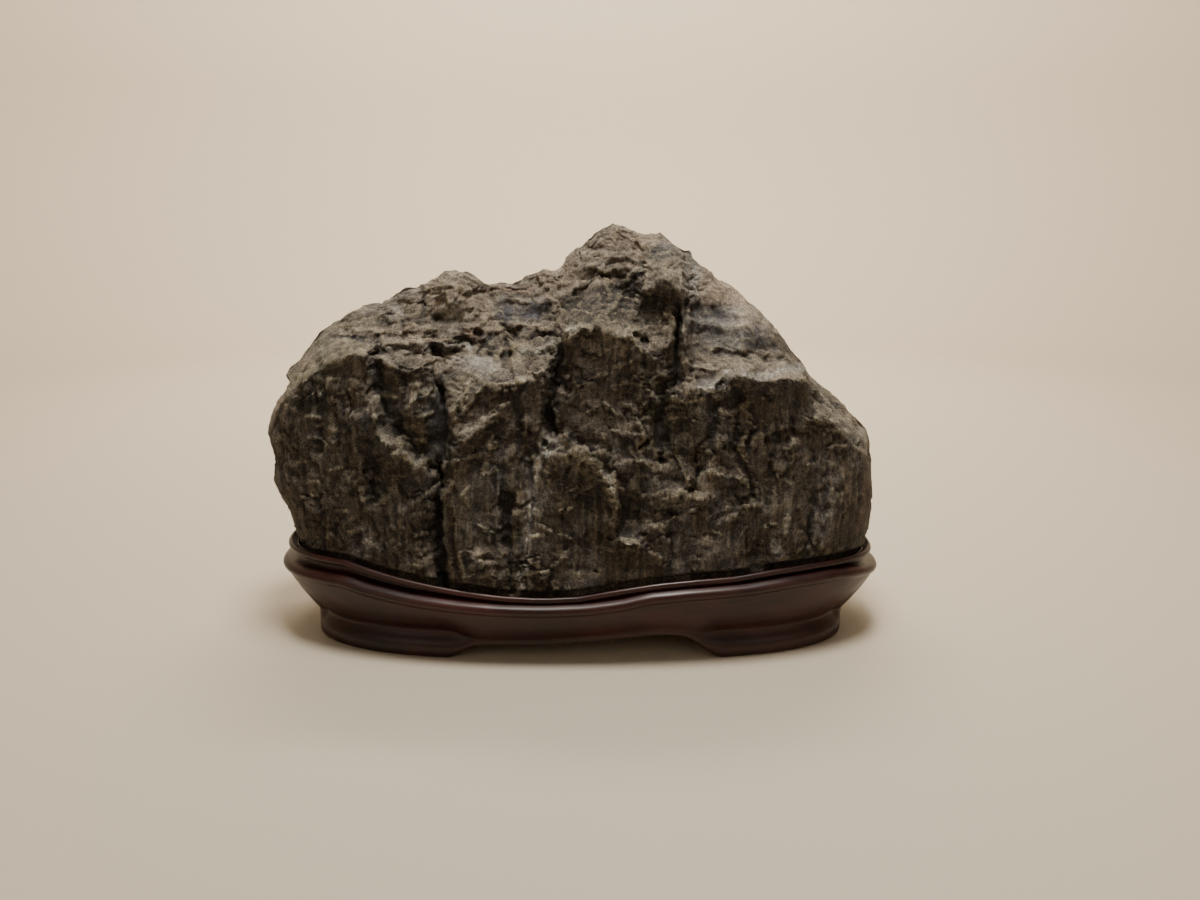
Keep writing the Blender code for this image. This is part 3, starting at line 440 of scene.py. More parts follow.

# (colour, strength, x, z, half width, half height); the dark lumps over pits are painted shade
PAINT_LUMPS = [
    (GREY, 0.75, -160, 220, 14, 18), (PINK, 0.55, -137, 217, 12, 5), (TAN, 0.6, -118, 229, 24, 5),
    (PINK, 0.5, -110, 222, 34, 14), (PINK, 0.85, -73, 248, 20, 16), (PINK, 0.6, -56, 236, 8, 8),
    (GREY, 0.9, -103, 250, 10, 8), (OLIVE, 0.5, -161, 216, 14, 18),
    (OLIVE, 0.8, -176, 197, 8, 7), (OLIVE, 0.7, -162, 199, 12, 6), (BROWN, 0.6, -142, 198, 14, 20),
    (RUST, 0.9, -64, 225, 10, 6), (BROWN, 0.5, -108, 210, 8, 6), (WHITE, 0.35, -66, 207, 15, 4),
    (GREY, 0.8, -64, 205, 18, 7), (BLUE, 0.95, -43, 239, 8, 10),
    (BLUE, 0.95, -24, 239, 12, 11), (PINK, 0.65, 24, 283, 22, 12), (PINK, 0.5, 14, 274, 14, 8),
    (BLUE_GREY, 0.75, 55, 276, 7, 7), (GREY, 0.6, 68, 268, 8, 9), (PINK, 0.75, 90, 252, 24, 14),
    (PINK, 0.4, 112, 236, 14, 12), (BLUE_GREY, 0.7, 84, 236, 24, 14), (DARK, 0.8, 77, 240, 18, 10),
    (BLUE_GREY, 0.6, 98, 220, 24, 10), (OLIVE, 0.6, 96, 222, 9, 8), (BLUE_GREY, 0.7, 118, 222, 16, 10),
    (SLATE, 0.8, -52, 218, 7, 9), (WHITE, 0.95, -18, 152, 5, 6), (PALE, 0.6, -30, 136, 5, 9),
    (PALE, 0.6, -33, 70, 5, 7), (YELLOW, 0.7, -6, 156, 5, 7), (PINK, 0.8, -74, 239, 10, 8),
    (DARK, 0.5, -86, 234, 5, 5), (DARK, 0.6, -115, 234, 4, 4), (DARK, 0.5, -106, 233, 5, 4),
    (DARK, 0.7, -18, 223, 5, 5), (BLUE_GREY, 0.4, -132, 128, 9, 18), (DARK, 0.3, 40, 118, 12, 18),
    (OLIVE, 0.3, -72, 190, 10, 12), (OLIVE, 0.25, -68, 90, 10, 14), (TAN, 0.35, 40, 84, 12, 6),
    (TAN, 0.35, 72, 113, 14, 6), (OLIVE, 0.6, 163, 186, 5, 4), (DARK, 0.6, 171, 179, 6, 4),
    (PALE, 0.6, 86, 189, 14, 8), (PALE, 0.6, 73, 264, 9, 12), (PINK, 0.6, 86, 250, 12, 12),
    (CLIFF, 0.6, 56, 120, 12, 6), (CLIFF, 0.6, 52, 138, 9, 6), (CLIFF, 0.6, 38, 91, 12, 7),
    (CLIFF, 0.6, 84, 76, 14, 12), (CLIFF, 0.6, -54, 75, 9, 9), (GREY, 0.6, 137, 82, 8, 12),
    (PINK, 0.6, 50, 258, 14, 8), (PINK, 0.5, 30, 264, 12, 5), (TAN, 0.6, -60, 252, 8, 6),
    (TAN, 0.6, -114, 238, 14, 6), (TAN, 0.45, 78, 186, 18, 10), (DARK, 0.3, 8, 226, 8, 4),
    (DARK, 0.5, -55, 78, 9, 8), (DARK, 0.45, 58, 121, 12, 6), (DARK, 0.45, 82, 78, 14, 12),
    (DARK, 0.45, 40, 90, 12, 7), (DARK, 0.6, 32, 239, 6, 7), (SLATE, 0.6, 52, 273, 9, 6),
    (DARK, 0.5, 12, 247, 8, 7), (SLATE, 0.5, -109, 248, 5, 5), (DARK, 0.45, -78, 183, 4, 9),
    # The pale lumps at (72, 254) and (-75, 239) are painted light that lifts the shade of the hollows
    # there.
    (PALE, 0.7, 72, 254, 7, 12), (PALE, 0.75, -75, 239, 9, 7), (PALE, 0.6, -60, 251, 8, 5),
    (TAN, 0.6, -6, 223, 7, 7), (TAN, 0.35, 20, 212, 24, 16), (WHITE, 0.6, 88, 190, 13, 7),
    (WHITE, 1.0, -18, 151, 7, 7), (YELLOW, 0.6, 12, 136, 14, 7), (PALE, 0.5, 55, 254, 10, 8),
    (PALE, 0.5, 40, 262, 7, 5), (PALE, 0.5, 134, 82, 6, 10), (TAN, 0.5, -45, 170, 8, 8),
    (PALE, 0.6, -29, 138, 5, 9), (PALE, 0.5, -113, 238, 9, 5), (TAN, 0.5, 62, 230, 5, 10),
]

# ---- stand: heights along the front and back (x mm, z mm) ---------------------------------------
LIP_FRONT = [(-219, 68.5), (-161, 69.5), (-132, 63), (-105, 58), (-78, 54), (-52, 51),
             (-25, 49.7), (0, 51), (27, 56), (53, 60), (80, 62), (106, 63), (134, 66),
             (162, 67), (194, 66), (219, 63)]
LIP_BACK = [(-219, 68.5), (-170, 68), (-120, 64), (-60, 58), (0, 55.5), (60, 57.5), (130, 64),
            (190, 66), (219, 63)]
RIM_FRONT = [(-224, 52.5), (-163, 54.5), (-147, 51), (-130, 48.6), (-115, 46.4), (-84, 43.6),
             (-55, 41.8), (-25, 41.4), (4, 42.6), (30, 46), (48, 50.4), (74, 52.4), (116, 54),
             (145, 56.5), (177, 57), (200, 54), (224, 47)]
RIM_BACK = [(-224, 52.5), (-180, 54), (-120, 51), (-60, 47), (0, 45.5), (60, 47.5), (130, 53),
            (180, 54), (224, 47)]
ARCH_FRONT = [(-80, 9.5), (-15, 10.5), (18, 14.5), (45, 17.8), (62, 17.6), (85, 13.5)]
ARCH_BACK = [(-80, 11), (0, 14.5), (80, 12)]
END_ARCH = 0.0110                  # height of the arch under the short ends, in m
FOOT_STOP_END = (12.0, 20.0)       # degrees over which each foot fades in at the short ends,
FOOT_STOP_LEFT = (69.5, 77.5)      # and out along the sides, left and right
FOOT_STOP_RIGHT = (67.3, 75.8)
UNDERSIDE_Z = 0.0215               # roof of the hollow under the stand, in m
WALL_INSET = 0.0034                # the apron wall starts this far inside the rim bead
# The apron wall's rows: (share of the way in to the waist, share of the way down to it).
WALL_STEPS = ((0.09, 0.14), (0.30, 0.37), (0.53, 0.59), (0.77, 0.80), (0.92, 0.92))
# The waist and the rows below it, in m: (out of the feet's oval, height) where there is a foot,
# and (out of that oval, height above the arch) where there is none.
WAIST = (-0.0058, 0.0185, -0.0018, 0.0050)
FOOT_ROWS = [
    (-0.0058, 0.0166, -0.0017, 0.0044), (-0.0044, 0.0144, -0.0016, 0.0036),
    (-0.0021, 0.0118, -0.0016, 0.0028), (-0.0005, 0.0090, -0.0017, 0.0020),
    (0.0, 0.0062, -0.0018, 0.0013), (-0.0001, 0.0034, -0.0020, 0.0008),
    (-0.0009, 0.0012, -0.0026, 0.0003), (-0.0024, 0.0001, -0.0038, 0.0),
    (-0.0040, 0.0, -0.0060, 0.0), (-0.0225, 0.0, -0.0225, 0.0),
    (-0.0235, 0.0008, -0.0235, 0.0008),
]
HOLLOW_INSET = -0.0280             # from the feet's oval to the edge of the hollow's roof
# Degrees round each quarter, from a short end to the long side: (from, to, step).
QUARTER_STEPS = ((0, 11, 2.0), (11, 22, 0.75), (22, 66, 2.0), (66, 79, 0.75), (79, 90, 2.0))
ROW_STEPS = 3                      # mesh rows from each knot of the profile to the next

# ---- stage, lights and camera (m, W, degrees, mm of lens) ---------------------------------------
STAGE_FLOOR = 1.5                  # radius of the flat floor
STAGE_SWEEP = 0.6                  # radius of the sweep up into the wall
STAGE_TOP = 2.4
STAGE_SIDES = 96
FLOOR_TINTS = ((0.49, 0.43, 0.345, 1.0), (0.53, 0.465, 0.375, 1.0))
# (name, place, target, diameter, power, colour)
LIGHTS = [
    ("overhead", (0.05, -0.18, 1.15), (0.0, 0.0, 0.15), 0.38, 16.5, (1.0, 0.95, 0.87)),
    ("front_left", (-0.9, -1.2, 0.9), (0.0, 0.0, 0.12), 0.8, 1.2, (1.0, 0.96, 0.90)),
    ("front_right", (1.0, -1.1, 0.8), (0.0, 0.0, 0.12), 0.8, 1.0, (1.0, 0.96, 0.90)),
    ("backdrop", (0.0, 0.8, 1.6), (0.0, 2.1, 0.5), 1.2, 78.0, (1.0, 0.89, 0.73)),
]
WORLD_COLOUR = (1.0, 0.95, 0.88, 1.0)
WORLD_STRENGTH = 0.30
CAMERA_PLACE = (0.0165, -0.633, 0.302)
CAMERA_DOWN = 15.2
CAMERA_LENS = 26.85
CAMERA_SENSOR = 36.0
CAMERA_NEAR = 0.01


def heights(table, x):
    """Second column of a table at x, with straight lines between its rows."""
    xs, zs = zip(*table)
    return np.interp(x, xs, zs)


# ---- rock --------------------------------------------------------------------------------------
def stroke_share(x, z, width_a, width_b, points):
    """1 on the stroke's line, fading to 0 over each side's width."""
    nearest = np.full_like(x, 1e9)
    for (x0, z0), (x1, z1) in zip(points, points[1:]):
        dx, dz = x1 - x0, z1 - z0
        t = np.clip(((x - x0) * dx + (z - z0) * dz) / (dx * dx + dz * dz), 0.0, 1.0)
        away = np.hypot(x - x0 - t * dx, z - z0 - t * dz)
        side = dx * (z - z0) - dz * (x - x0)
        nearest = np.minimum(nearest, away / np.where(side < 0, width_a, width_b))
    fade = np.clip(1.0 - nearest, 0.0, 1.0)
    return fade * fade * (3.0 - 2.0 * fade)


def lump_share(x, z, cx, cz, half_width, half_height):
    """1 in the middle of an oval, fading to 0 at its edge."""
    r2 = ((x - cx) / half_width) ** 2 + ((z - cz) / half_height) ** 2
    return np.clip(1.0 - r2, 0.0, 1.0) ** 1.5


def total_push(x, z, strokes, lumps):
    """Push of all the strokes and lumps at every sheet point, in mm."""
    push = sum(p * stroke_share(x, z, a, b, line) for p, a, b, line in strokes)
    return push + sum(p * lump_share(x, z, *where) for p, *where in lumps)


def neighbour_mean(values, edges, rounds):
    """Averages a vertex quantity with its neighbours, round after round."""
    a, b = edges[:, 0], edges[:, 1]
    count = np.bincount(edges.ravel(), minlength=len(values)).astype(float)
    values = values.copy()
    for _ in range(rounds):
        for k in range(values.shape[1]):
            column = values[:, k]
            total = np.bincount(a, column[b], len(column)) + np.bincount(b, column[a], len(column))
            values[:, k] = total / count
    return values


def crowd_front(direction):
    """Slides unit-sphere points toward the front pole, so that the front has the finer mesh."""
    away = np.arccos(np.clip(-direction[:, 1], -1.0, 1.0))
    moved = 2.0 * np.arctan(FRONT_CROWDING * np.tan(away / 2.0))
    moved = np.where(away > math.pi - 1e-6, math.pi, moved)
    side = np.sin(moved) / np.maximum(np.sin(away), 1e-9)
    return np.stack([direction[:, 0] * side, -np.cos(moved), direction[:, 2] * side], axis=1)


def warped(x, z, y):
    """Shifts places by a few mm, so that no stroke's edge runs smooth."""
    shift = np.array([2.6 * noise.noise_vector(Vector((a / 15.0, c / 15.0, b / 19.0)))
                      + 1.1 * noise.noise_vector(Vector((a / 4.5, c / 4.5, b / 5.5)))
                      for a, b, c in zip(x, z, y)])
    return x + shift[:, 0], z + shift[:, 2]


def seen_on_sheet(p):
    """Where points of the stone lie on the sheet, and which of them are on its front."""
    spread = (p[:, 1] - EYE.y) / (SHEET_Y - EYE.y)
    front = (p[:, 1] < heights(CREST, p[:, 0]) + PAST_CREST).astype(float)
    return EYE.x + (p[:, 0] - EYE.x) / spread, EYE.z + (p[:, 2] - EYE.z) / spread, front


def roughness(p):
    """How much of the broken relief each point has."""
    x, z, front = seen_on_sheet(p)
    share = sum(loss * lump_share(x, z, *where) ** 0.5 for loss, *where in SMOOTHED)
    return 1.0 - np.clip(share, 0.0, 0.85) * front


def rock_surface(direction, edges):
    """Moves unit-sphere points onto the rock; the sphere's y poles become front and back."""
    front = direction[:, 1] < 0
    reach = np.minimum(np.hypot(direction[:, 0], direction[:, 2]), 1.0)
    angle = np.arctan2(direction[:, 2], direction[:, 0])

    # The outline as a radius about CENTRE, and the sheet position that it gives.
    rim_angle = np.array([math.atan2(pz - CENTRE[1], px - CENTRE[0]) for px, pz in OUTLINE])
    rim_radius = np.array([math.hypot(px - CENTRE[0], pz - CENTRE[1]) for px, pz in OUTLINE])
    order = np.argsort(rim_angle)
    radius = np.interp(angle, rim_angle[order], rim_radius[order], period=2 * math.pi)
    x = CENTRE[0] + reach * radius * np.cos(angle)
    z = CENTRE[1] + reach * radius * np.sin(angle)
    # Evens out the mesh where the outline has sharp turns, with the outline itself held.
    inner = reach < 0.9999
    for _ in range(RELAX_ROUNDS):
        eased = neighbour_mean(np.stack([x, z], axis=1), edges, 1)
        x, z = np.where(inner, eased[:, 0], x), np.where(inner, eased[:, 1], z)

    # Full depth over the cliff, falling to the ridge above its edge and round at both ends.
    top = sorted(p for p in OUTLINE if p[1] > (190 if p[0] < 0 else 150))
    top_z = np.mean([heights(top, x + shift) for shift in EASE], axis=0)
    left = sorted((pz, px) for px, pz in OUTLINE if px < 0 and pz < 185)
    right = sorted((pz, px) for px, pz in OUTLINE if px > 0 and pz < 160)
    end = np.mean([np.where(x < 0, -heights(left, z + shift), heights(right, z + shift))
                   for shift in EASE], axis=0)
    across = np.clip(np.abs(x) / (1.025 * np.maximum(end, 1.0)), 0.0, 1.0)
    depth_share = (1.0 - across ** 3.0) ** (1 / 3.0)
    brow = np.where(front, heights(FRONT_BROW, x), heights(BACK_BROW, x))
    climb = np.where(front, heights(TERRACE, x), BACK_CLIMB)
    above = np.clip((top_z - z) / np.maximum(top_z - brow, 4.0), 0.0, 1.0)
    depth_share = np.minimum(depth_share * above ** climb, (1.0 - reach ** 30) ** 0.5)

    # The walls lean in with height, and the strokes and lumps push them out and in.
    lean = np.clip((z - LEAN_FROM) / LEAN_HEIGHT, 0.0, 1.2)
    crest = heights(CREST, x)
    inside = 1.0 - reach ** 10
    wx, wz = warped(x, z, direction[:, 1] * 40.0)
    push_front = total_push(wx, wz, FRONT_STROKES, FRONT_LUMPS) * inside
    push_front += total_push(wx, wz, FINE_STROKES, FINE_LUMPS) * (1.0 - reach ** 16)
    broken = np.array([noise.noise(Vector((a / 3.5, b / 3.5, 0.0))) for a, b in zip(x, z)])
    push_front += sum((0.7 + 0.5 * size) * stroke_share(wx, wz, 1.6 * size, 1.5, line)
                      for size, line in CHIPS) * np.clip(0.8 + 1.6 * broken, 0.1, 1.5)
    push_back = total_push(wx, wz, BACK_STROKES, BACK_LUMPS) * inside
    blunt = RIDGE_HALF * (1.0 - depth_share) * (1.0 - reach ** 12) ** 0.5
    y_front = crest * (1.0 - depth_share) - (ROCK_FRONT - FRONT_LEAN * lean) * depth_share
    y_back = crest * (1.0 - depth_share) + (ROCK_BACK - BACK_LEAN * lean) * depth_share
    y_front -= push_front + blunt
    y_back += push_back + blunt
    y = np.where(front, y_front, y_back)

    # Off the sheet: the front keeps its place as seen from EYE, the back goes straight behind.
    spread = (np.where(front, y, crest) - EYE.y) / (SHEET_Y - EYE.y)
    return np.stack([EYE.x + (x - EYE.x) * spread, y, EYE.z + (z - EYE.z) * spread], axis=1)


def facets(p, size, tall, tilt, step):
    """Push of flat-faced blocks about size across and tall high, each tilted and set its way."""
    ragged = noise.noise_vector(p / (0.6 * size)) * 0.28
    q = Vector((p.x / size, p.y / size, p.z / tall)) + ragged
    centre = noise.voronoi(q)[1][0]
    turn = noise.cell_vector(centre) * 2.0 - Vector((1.0, 1.0, 1.0))
    return step * turn.z + tilt * turn.dot(q - centre)


def creases(p, wide, tall):
    """Sharp little crests with hollows between them, about wide across and tall high."""
    q = Vector((p.x / wide, p.y / wide, p.z / tall))
    return 0.6 - 2.2 * abs(noise.noise(q)) + 0.25 - 1.0 * abs(noise.noise(q * 2.3))


# Fields of flat-faced blocks: (size across, height, tilt, step), mm.
CLIFF_BLOCKS = (14.0, 21.0, 3.2, 1.5)
CLIFF_CHIPS = (6.0, 6.0, 1.6, 0.7)
GROUND_BLOCKS = (18.0, 9.0, 3.0, 1.4)
GROUND_CHIPS = (7.0, 4.5, 1.2, 0.5)
# Heights of the noise relief, mm.
SWELL = 1.6
FLUTE = 2.2
RIB = 2.4


def roughness_push(p, normal, rough):
    """Broken-stone relief in mm: upright flutes and chipped ledges on the cliffs, broken blocks
    and grain on the ground above. rough is the share of it that a place has."""
    steep = 1.0 - min(1.0, abs(normal.z) * 1.6)
    flat = 1.0 - steep
    push = SWELL * noise.fractal(Vector((p.x / 26.0, p.y / 26.0, p.z / 32.0)), 0.7, 2.1, 3)
    detail = 0.0
    if steep > 0.0:
        flute = noise.noise(Vector((p.x / 9.0, p.y / 10.0, p.z / 70.0)))
        rib = noise.noise(Vector((p.x / 5.0, p.y / 6.0, p.z / 60.0)))
        patch = noise.noise(Vector((p.x / 30.0 + 7.0, p.y / 30.0, p.z / 24.0)))
        broken = min(1.0, max(0.0, 0.50 + 1.8 * patch))
        detail += steep * (FLUTE * flute + (0.5 - RIB * abs(rib)) * (1.0 - 0.5 * broken))
        detail += steep * (0.45 + 0.55 * broken) * facets(p, *CLIFF_BLOCKS)
        detail += steep * broken * (facets(p, *CLIFF_CHIPS) + 0.7 * creases(p, 6.5, 4.0))
    if flat > 0.0:
        detail += flat * (facets(p, *GROUND_BLOCKS) + facets(p, *GROUND_CHIPS))
        detail += flat * 0.8 * creases(p, 10.0, 4.2)
    return push + detail * rough


def hold_in_seat(p):
    """Draws the foot of the rock in so that it drops inside the stand's lip."""
    away = p.x - STAND_X / MM
    lip = heights(LIP_FRONT if p.y < 0 else LIP_BACK, away)
    flare = 1.0 + max(0.0, (p.z - lip - 1.0) / SEAT_FLARE)
    q = (abs(away) / (SEAT[0] / MM)) ** RIM_POWER + (abs(p.y) / (SEAT[1] / MM)) ** RIM_POWER
    q = q ** (1.0 / RIM_POWER) / flare
    if p.z < lip + SEAT_PULL and q > 1.0:
        share = min(1.0, (lip + SEAT_PULL - p.z) / SEAT_FADE)
        pull = 1.0 - share * (1.0 - 1.0 / q)
        return Vector((p.x - away * (1.0 - pull), p.y * pull, p.z))
    return p


# Rounds of averaging that paint_rock compares the surface with.
BROAD_ROUNDS = 30
SLOPE_ROUNDS = 6
FINE_ROUNDS = 3
CREST_REACH = 22.0                 # the painted light of the crest fades out this far from its line, in mm


def mix(base, colour, share):
    """Moves rows of colour toward one colour, each by its own share."""
    return base + (np.array(colour) - base) * share[:, None]


def paint_rock(mesh):
    """Writes the stone's colour, with painted shade in its hollows and painted light on its level
    ground and chips, and how upright its grain runs, on every vertex.
    """
    count = len(mesh.vertices)
    p = read(mesh.vertices, "co", 3) / MM
    normal = read(mesh.vertices, "normal", 3)
    edges = read(mesh.edges, "vertices", 2)

    broad = neighbour_mean(p, edges, BROAD_ROUNDS)
    coarse = ((p - broad) * normal).sum(axis=1)
    fine = ((p - neighbour_mean(p, edges, FINE_ROUNDS)) * normal).sum(axis=1)
    up = neighbour_mean(normal, edges, SLOPE_ROUNDS)[:, 2]
    level = np.clip((up - 0.12) / 0.45, 0.0, 1.0)
    # Near the crest, above the brow, ground facing any way counts as level and gets the same painted
    # light.
    on_crest = 1.0 - np.abs(p[:, 1] - heights(CREST, p[:, 0])) / CREST_REACH
    above = (p[:, 2] - heights(FRONT_BROW, p[:, 0])) / 30.0 + 0.3
    level = np.maximum(level, np.clip(1.6 * on_crest, 0.0, 1.0) * np.clip(above, 0.0, 1.0))

    points = [Vector(q) for q in p.tolist()]
    streak = np.array([noise.noise(Vector((q.x / 7.0, q.y / 7.0, q.z / 90.0))) for q in points])
    cloud = np.array([noise.fractal(q / 30.0, 0.8, 2.0, 3) for q in points])
    speck = np.array([noise.noise(q / 3.0) for q in points])

    # What the stone has everywhere: brown cliffs with grey clouds, and pale level ground, partly its
    # own colour and partly painted light from above.
    colour = np.tile(np.array(CLIFF), (count, 1))
    colour = mix(colour, BROWN, np.clip(0.5 + 1.6 * streak, 0.0, 1.0) * 0.7)
    colour = mix(colour, BLUE_GREY, np.clip(cloud * 1.6 - 0.1, 0.0, 0.5))
    colour = mix(colour, TAN, level * 0.85)
    colour = mix(colour, PINK, level * np.clip(cloud * 2.0, 0.0, 0.6))
    colour = mix(colour, GREY, level * np.clip(-cloud * 2.0, 0.0, 0.6))

    # What it has in its own places, with painted shade in crevices, slots and pits and painted light
    # on some ledges and hollows.
    x, z, front = seen_on_sheet(p)
    x, z = warped(x, z, p[:, 1])
    ragged = np.clip(1.0 + 1.0 * speck, 0.5, 1.3)
    for tint, strength, *where in PAINT_LUMPS:
        share = lump_share(x, z, *where) ** 0.6 * strength * front * ragged
        colour = mix(colour, tint, np.clip(share, 0.0, 1.0))
    for tint, strength, a, b, line in PAINT_STROKES:
        share = stroke_share(x, z, a, b, line) * strength * front * ragged
        colour = mix(colour, tint, np.clip(share, 0.0, 1.0))
    # A painted highlight along each chip's lit edge.
    for size, line in CHIPS:
        share = stroke_share(x, z, 0.8 * size, 1.2 + 0.3 * size, line) * 0.75 * front * ragged
        colour = mix(colour, CHIP_HIGHLIGHT, np.clip(share, 0.0, 1.0))

    # Edges that stand out are pale, and hollows are darkened with painted shade.
    colour = mix(colour, YELLOW, np.clip(fine * 1.1 - 0.12, 0.0, 0.55) * (0.5 + 0.5 * level))
    hollow_shade = (1.0 - 0.45 * level) * (1.0 - 0.8 * np.clip(on_crest * 1.6, 0.0, 1.0))
    colour = mix(colour, DARK, np.clip(-fine * 1.6 - 0.1, 0.0, 0.75) * hollow_shade)
    colour = mix(colour, DARK, np.clip(-coarse * 0.22 - 0.12, 0.0, 0.6) * hollow_shade)
    colour *= STONE_TONE * (1.0 + 0.28 * speck + 0.22 * streak)[:, None]
    rgba = np.concatenate([np.clip(colour, 0.004, 0.9), np.ones((count, 1))], axis=1)
    layer = mesh.attributes.new("stone", "FLOAT_COLOR", "POINT")
    layer.data.foreach_set("color", rgba.astype(np.float32).ravel())
    for name, value in (("level", level), ("rough", roughness(p))):
        layer = mesh.attributes.new(name, "FLOAT", "POINT")
        layer.data.foreach_set("value", value.astype(np.float32))


def read(items, name, width):
    """A mesh quantity as an array of rows."""
    values = np.zeros(len(items) * width, int if name == "vertices" else float)
    items.foreach_get(name, values)
    return values.reshape(-1, width)


def build_rock():
    """The stone as one thinned and painted mesh with a flat underside."""
    bm = bmesh.new()
    bmesh.ops.create_icosphere(bm, subdivisions=ROCK_DIVISIONS, radius=1.0)
    mesh = bpy.data.meshes.new("rock_dense")
    bm.to_mesh(mesh)
    bm.free()
    direction = read(mesh.vertices, "co", 3)
    direction = crowd_front(direction / np.linalg.norm(direction, axis=1)[:, None])
    place = rock_surface(direction, read(mesh.edges, "vertices", 2))
    mesh.vertices.foreach_set("co", place.ravel())
    mesh.update()
    moved = []
    reach = np.hypot(direction[:, 0], direction[:, 2])
    share = roughness(place) * (1.0 - 0.6 * np.clip((reach - 0.95) / 0.05, 0.0, 1.0))
    for p, normal, rough in zip(place, read(mesh.vertices, "normal", 3), share):
        p, normal = Vector(p), Vector(normal)
        moved.append(hold_in_seat(p + normal * roughness_push(p, normal, rough)) * MM)
    mesh.vertices.foreach_set("co", np.array(moved).ravel())

    bm = bmesh.new()
    bm.from_mesh(mesh)
    geometry = bm.verts[:] + bm.edges[:] + bm.faces[:]
    bmesh.ops.bisect_plane(bm, geom=geometry, dist=0.00001, plane_co=(0, 0, ROCK_BASE),
                           plane_no=(0, 0, -1), clear_outer=True)
    bmesh.ops.holes_fill(bm, edges=[e for e in bm.edges if e.is_boundary], sides=0)
    bmesh.ops.triangulate(bm, faces=[f for f in bm.faces if len(f.verts) > 4])
    bm.to_mesh(mesh)
    bm.free()

    rock = bpy.data.objects.new("rock_stone", mesh)
    bpy.context.collection.objects.link(rock)
    thin = rock.modifiers.new("thin", "DECIMATE")
    thin.ratio = min(1.0, ROCK_TRIANGLES / len(mesh.polygons))
    graph = bpy.context.evaluated_depsgraph_get()
    mesh = bpy.data.meshes.new_from_object(rock.evaluated_get(graph))
    mesh.name = "rock_stone"
    rock.modifiers.clear()
    rock.data = mesh
    mesh.shade_smooth()
    paint_rock(mesh)
    return rock


# ---- stand -------------------------------------------------------------------------------------
def smooth(low, high, value):
    """0 below low, 1 above high, and a soft rise between them."""
    t = min(1.0, max(0.0, (value - low) / (high - low)))
    return t * t * (3.0 - 2.0 * t)


def oval(half, angle, power=RIM_POWER):
    """Point of a boxy oval in the direction that angle gives."""
    c, s = math.cos(angle), math.sin(angle)
    return (half[0] * math.copysign(abs(c) ** (2 / power), c),
            half[1] * math.copysign(abs(s) ** (2 / power), s))


def stand_column(angle):
    """One upright slice from the recess floor over the rim to the underside, as (x, y, z)."""
    in_quarter = math.degrees(math.acos(min(1.0, abs(math.cos(angle)))))
    front = math.sin(angle) < 0
    lip = heights(LIP_FRONT if front else LIP_BACK, oval(STAND_LIP, angle)[0] / MM) * MM
    rim = heights(RIM_FRONT if front else RIM_BACK, oval(STAND_RIM, angle)[0] / MM) * MM
    side = FOOT_STOP_LEFT if math.cos(angle) < 0 else FOOT_STOP_RIGHT
    foot = smooth(*FOOT_STOP_END, in_quarter) * (1.0 - smooth(*side, in_quarter))
    arch = END_ARCH
    if in_quarter > 45:
        arch = heights(ARCH_FRONT if front else ARCH_BACK, oval(STAND_LIP, angle)[0] / MM) * MM

    def low(foot_out, foot_z, arch_out, above_arch):
        """Blends the flared foot with the plain apron edge over the arch."""
        return (STAND_FEET, FEET_POWER, foot_out * foot + arch_out * (1.0 - foot),
                foot_z * foot + (arch + above_arch) * (1.0 - foot))

    waist = low(*WAIST)
    wall_top = rim - 0.0052
    seat = [(0.0016, RECESS_FLOOR), (0.0018, RECESS_FLOOR + 0.0030)]
    lip_bead = [(-0.0068, lip - 0.0042), (-0.0060, lip - 0.0030), (-0.0034, lip - 0.0006),
                (-0.0016, lip), (-0.0003, lip - 0.0010), (0.0, lip - 0.0024),
                (-0.0008, lip - 0.0038), (-0.0034, lip - 0.0046)]
    cove = [(-0.0056, lip * 0.62 + rim * 0.38), (-0.0058, lip * 0.40 + rim * 0.60),
            (-0.0036, rim + 0.0046)]
    rim_bead = [(-0.0052, rim + 0.0040), (-0.0022, rim + 0.0027), (-0.0006, rim + 0.0013),
                (0.0, rim - 0.0004), (-0.0006, rim - 0.0022), (-0.0018, rim - 0.0036),
                (-0.0030, wall_top)]
    rows = [(half, RIM_POWER, out, z)
            for half, knots in ((SEAT, seat), (STAND_LIP, lip_bead + cove), (STAND_RIM, rim_bead))
            for out, z in knots]
    for share, drop in WALL_STEPS:
        half = [STAND_RIM[k] - WALL_INSET
                + (STAND_FEET[k] + waist[2] - STAND_RIM[k] + WALL_INSET) * share for k in (0, 1)]
        rows.append((half, RIM_POWER + (FEET_POWER - RIM_POWER) * share, 0.0,
                     wall_top + (waist[3] - wall_top) * drop))
    rows += [waist] + [low(*row) for row in FOOT_ROWS]
    rows.append((STAND_FEET, FEET_POWER, HOLLOW_INSET, UNDERSIDE_Z))
    column = []
    for half, power, out, z in rows:
        x, y = oval((half[0] + out, half[1] + out), angle, power)
        column.append((x + STAND_X, y, z))
    return column


def between_knots(knots, steps):
    """Catmull-Rom curve through the knots, with each knot kept."""
    padded = np.vstack([2 * knots[0] - knots[1], knots, 2 * knots[-1] - knots[-2]])
    curve = []
    for k in range(1, len(padded) - 2):
        a, b, c, d = padded[k - 1:k + 3]
        for t in np.arange(steps) / steps:
            curve.append(0.5 * (2 * b + (c - a) * t + (2 * a - 5 * b + 4 * c - d) * t * t
                                + (3 * b - 3 * c + d - a) * t ** 3))
    return np.array(curve + [knots[-1]])


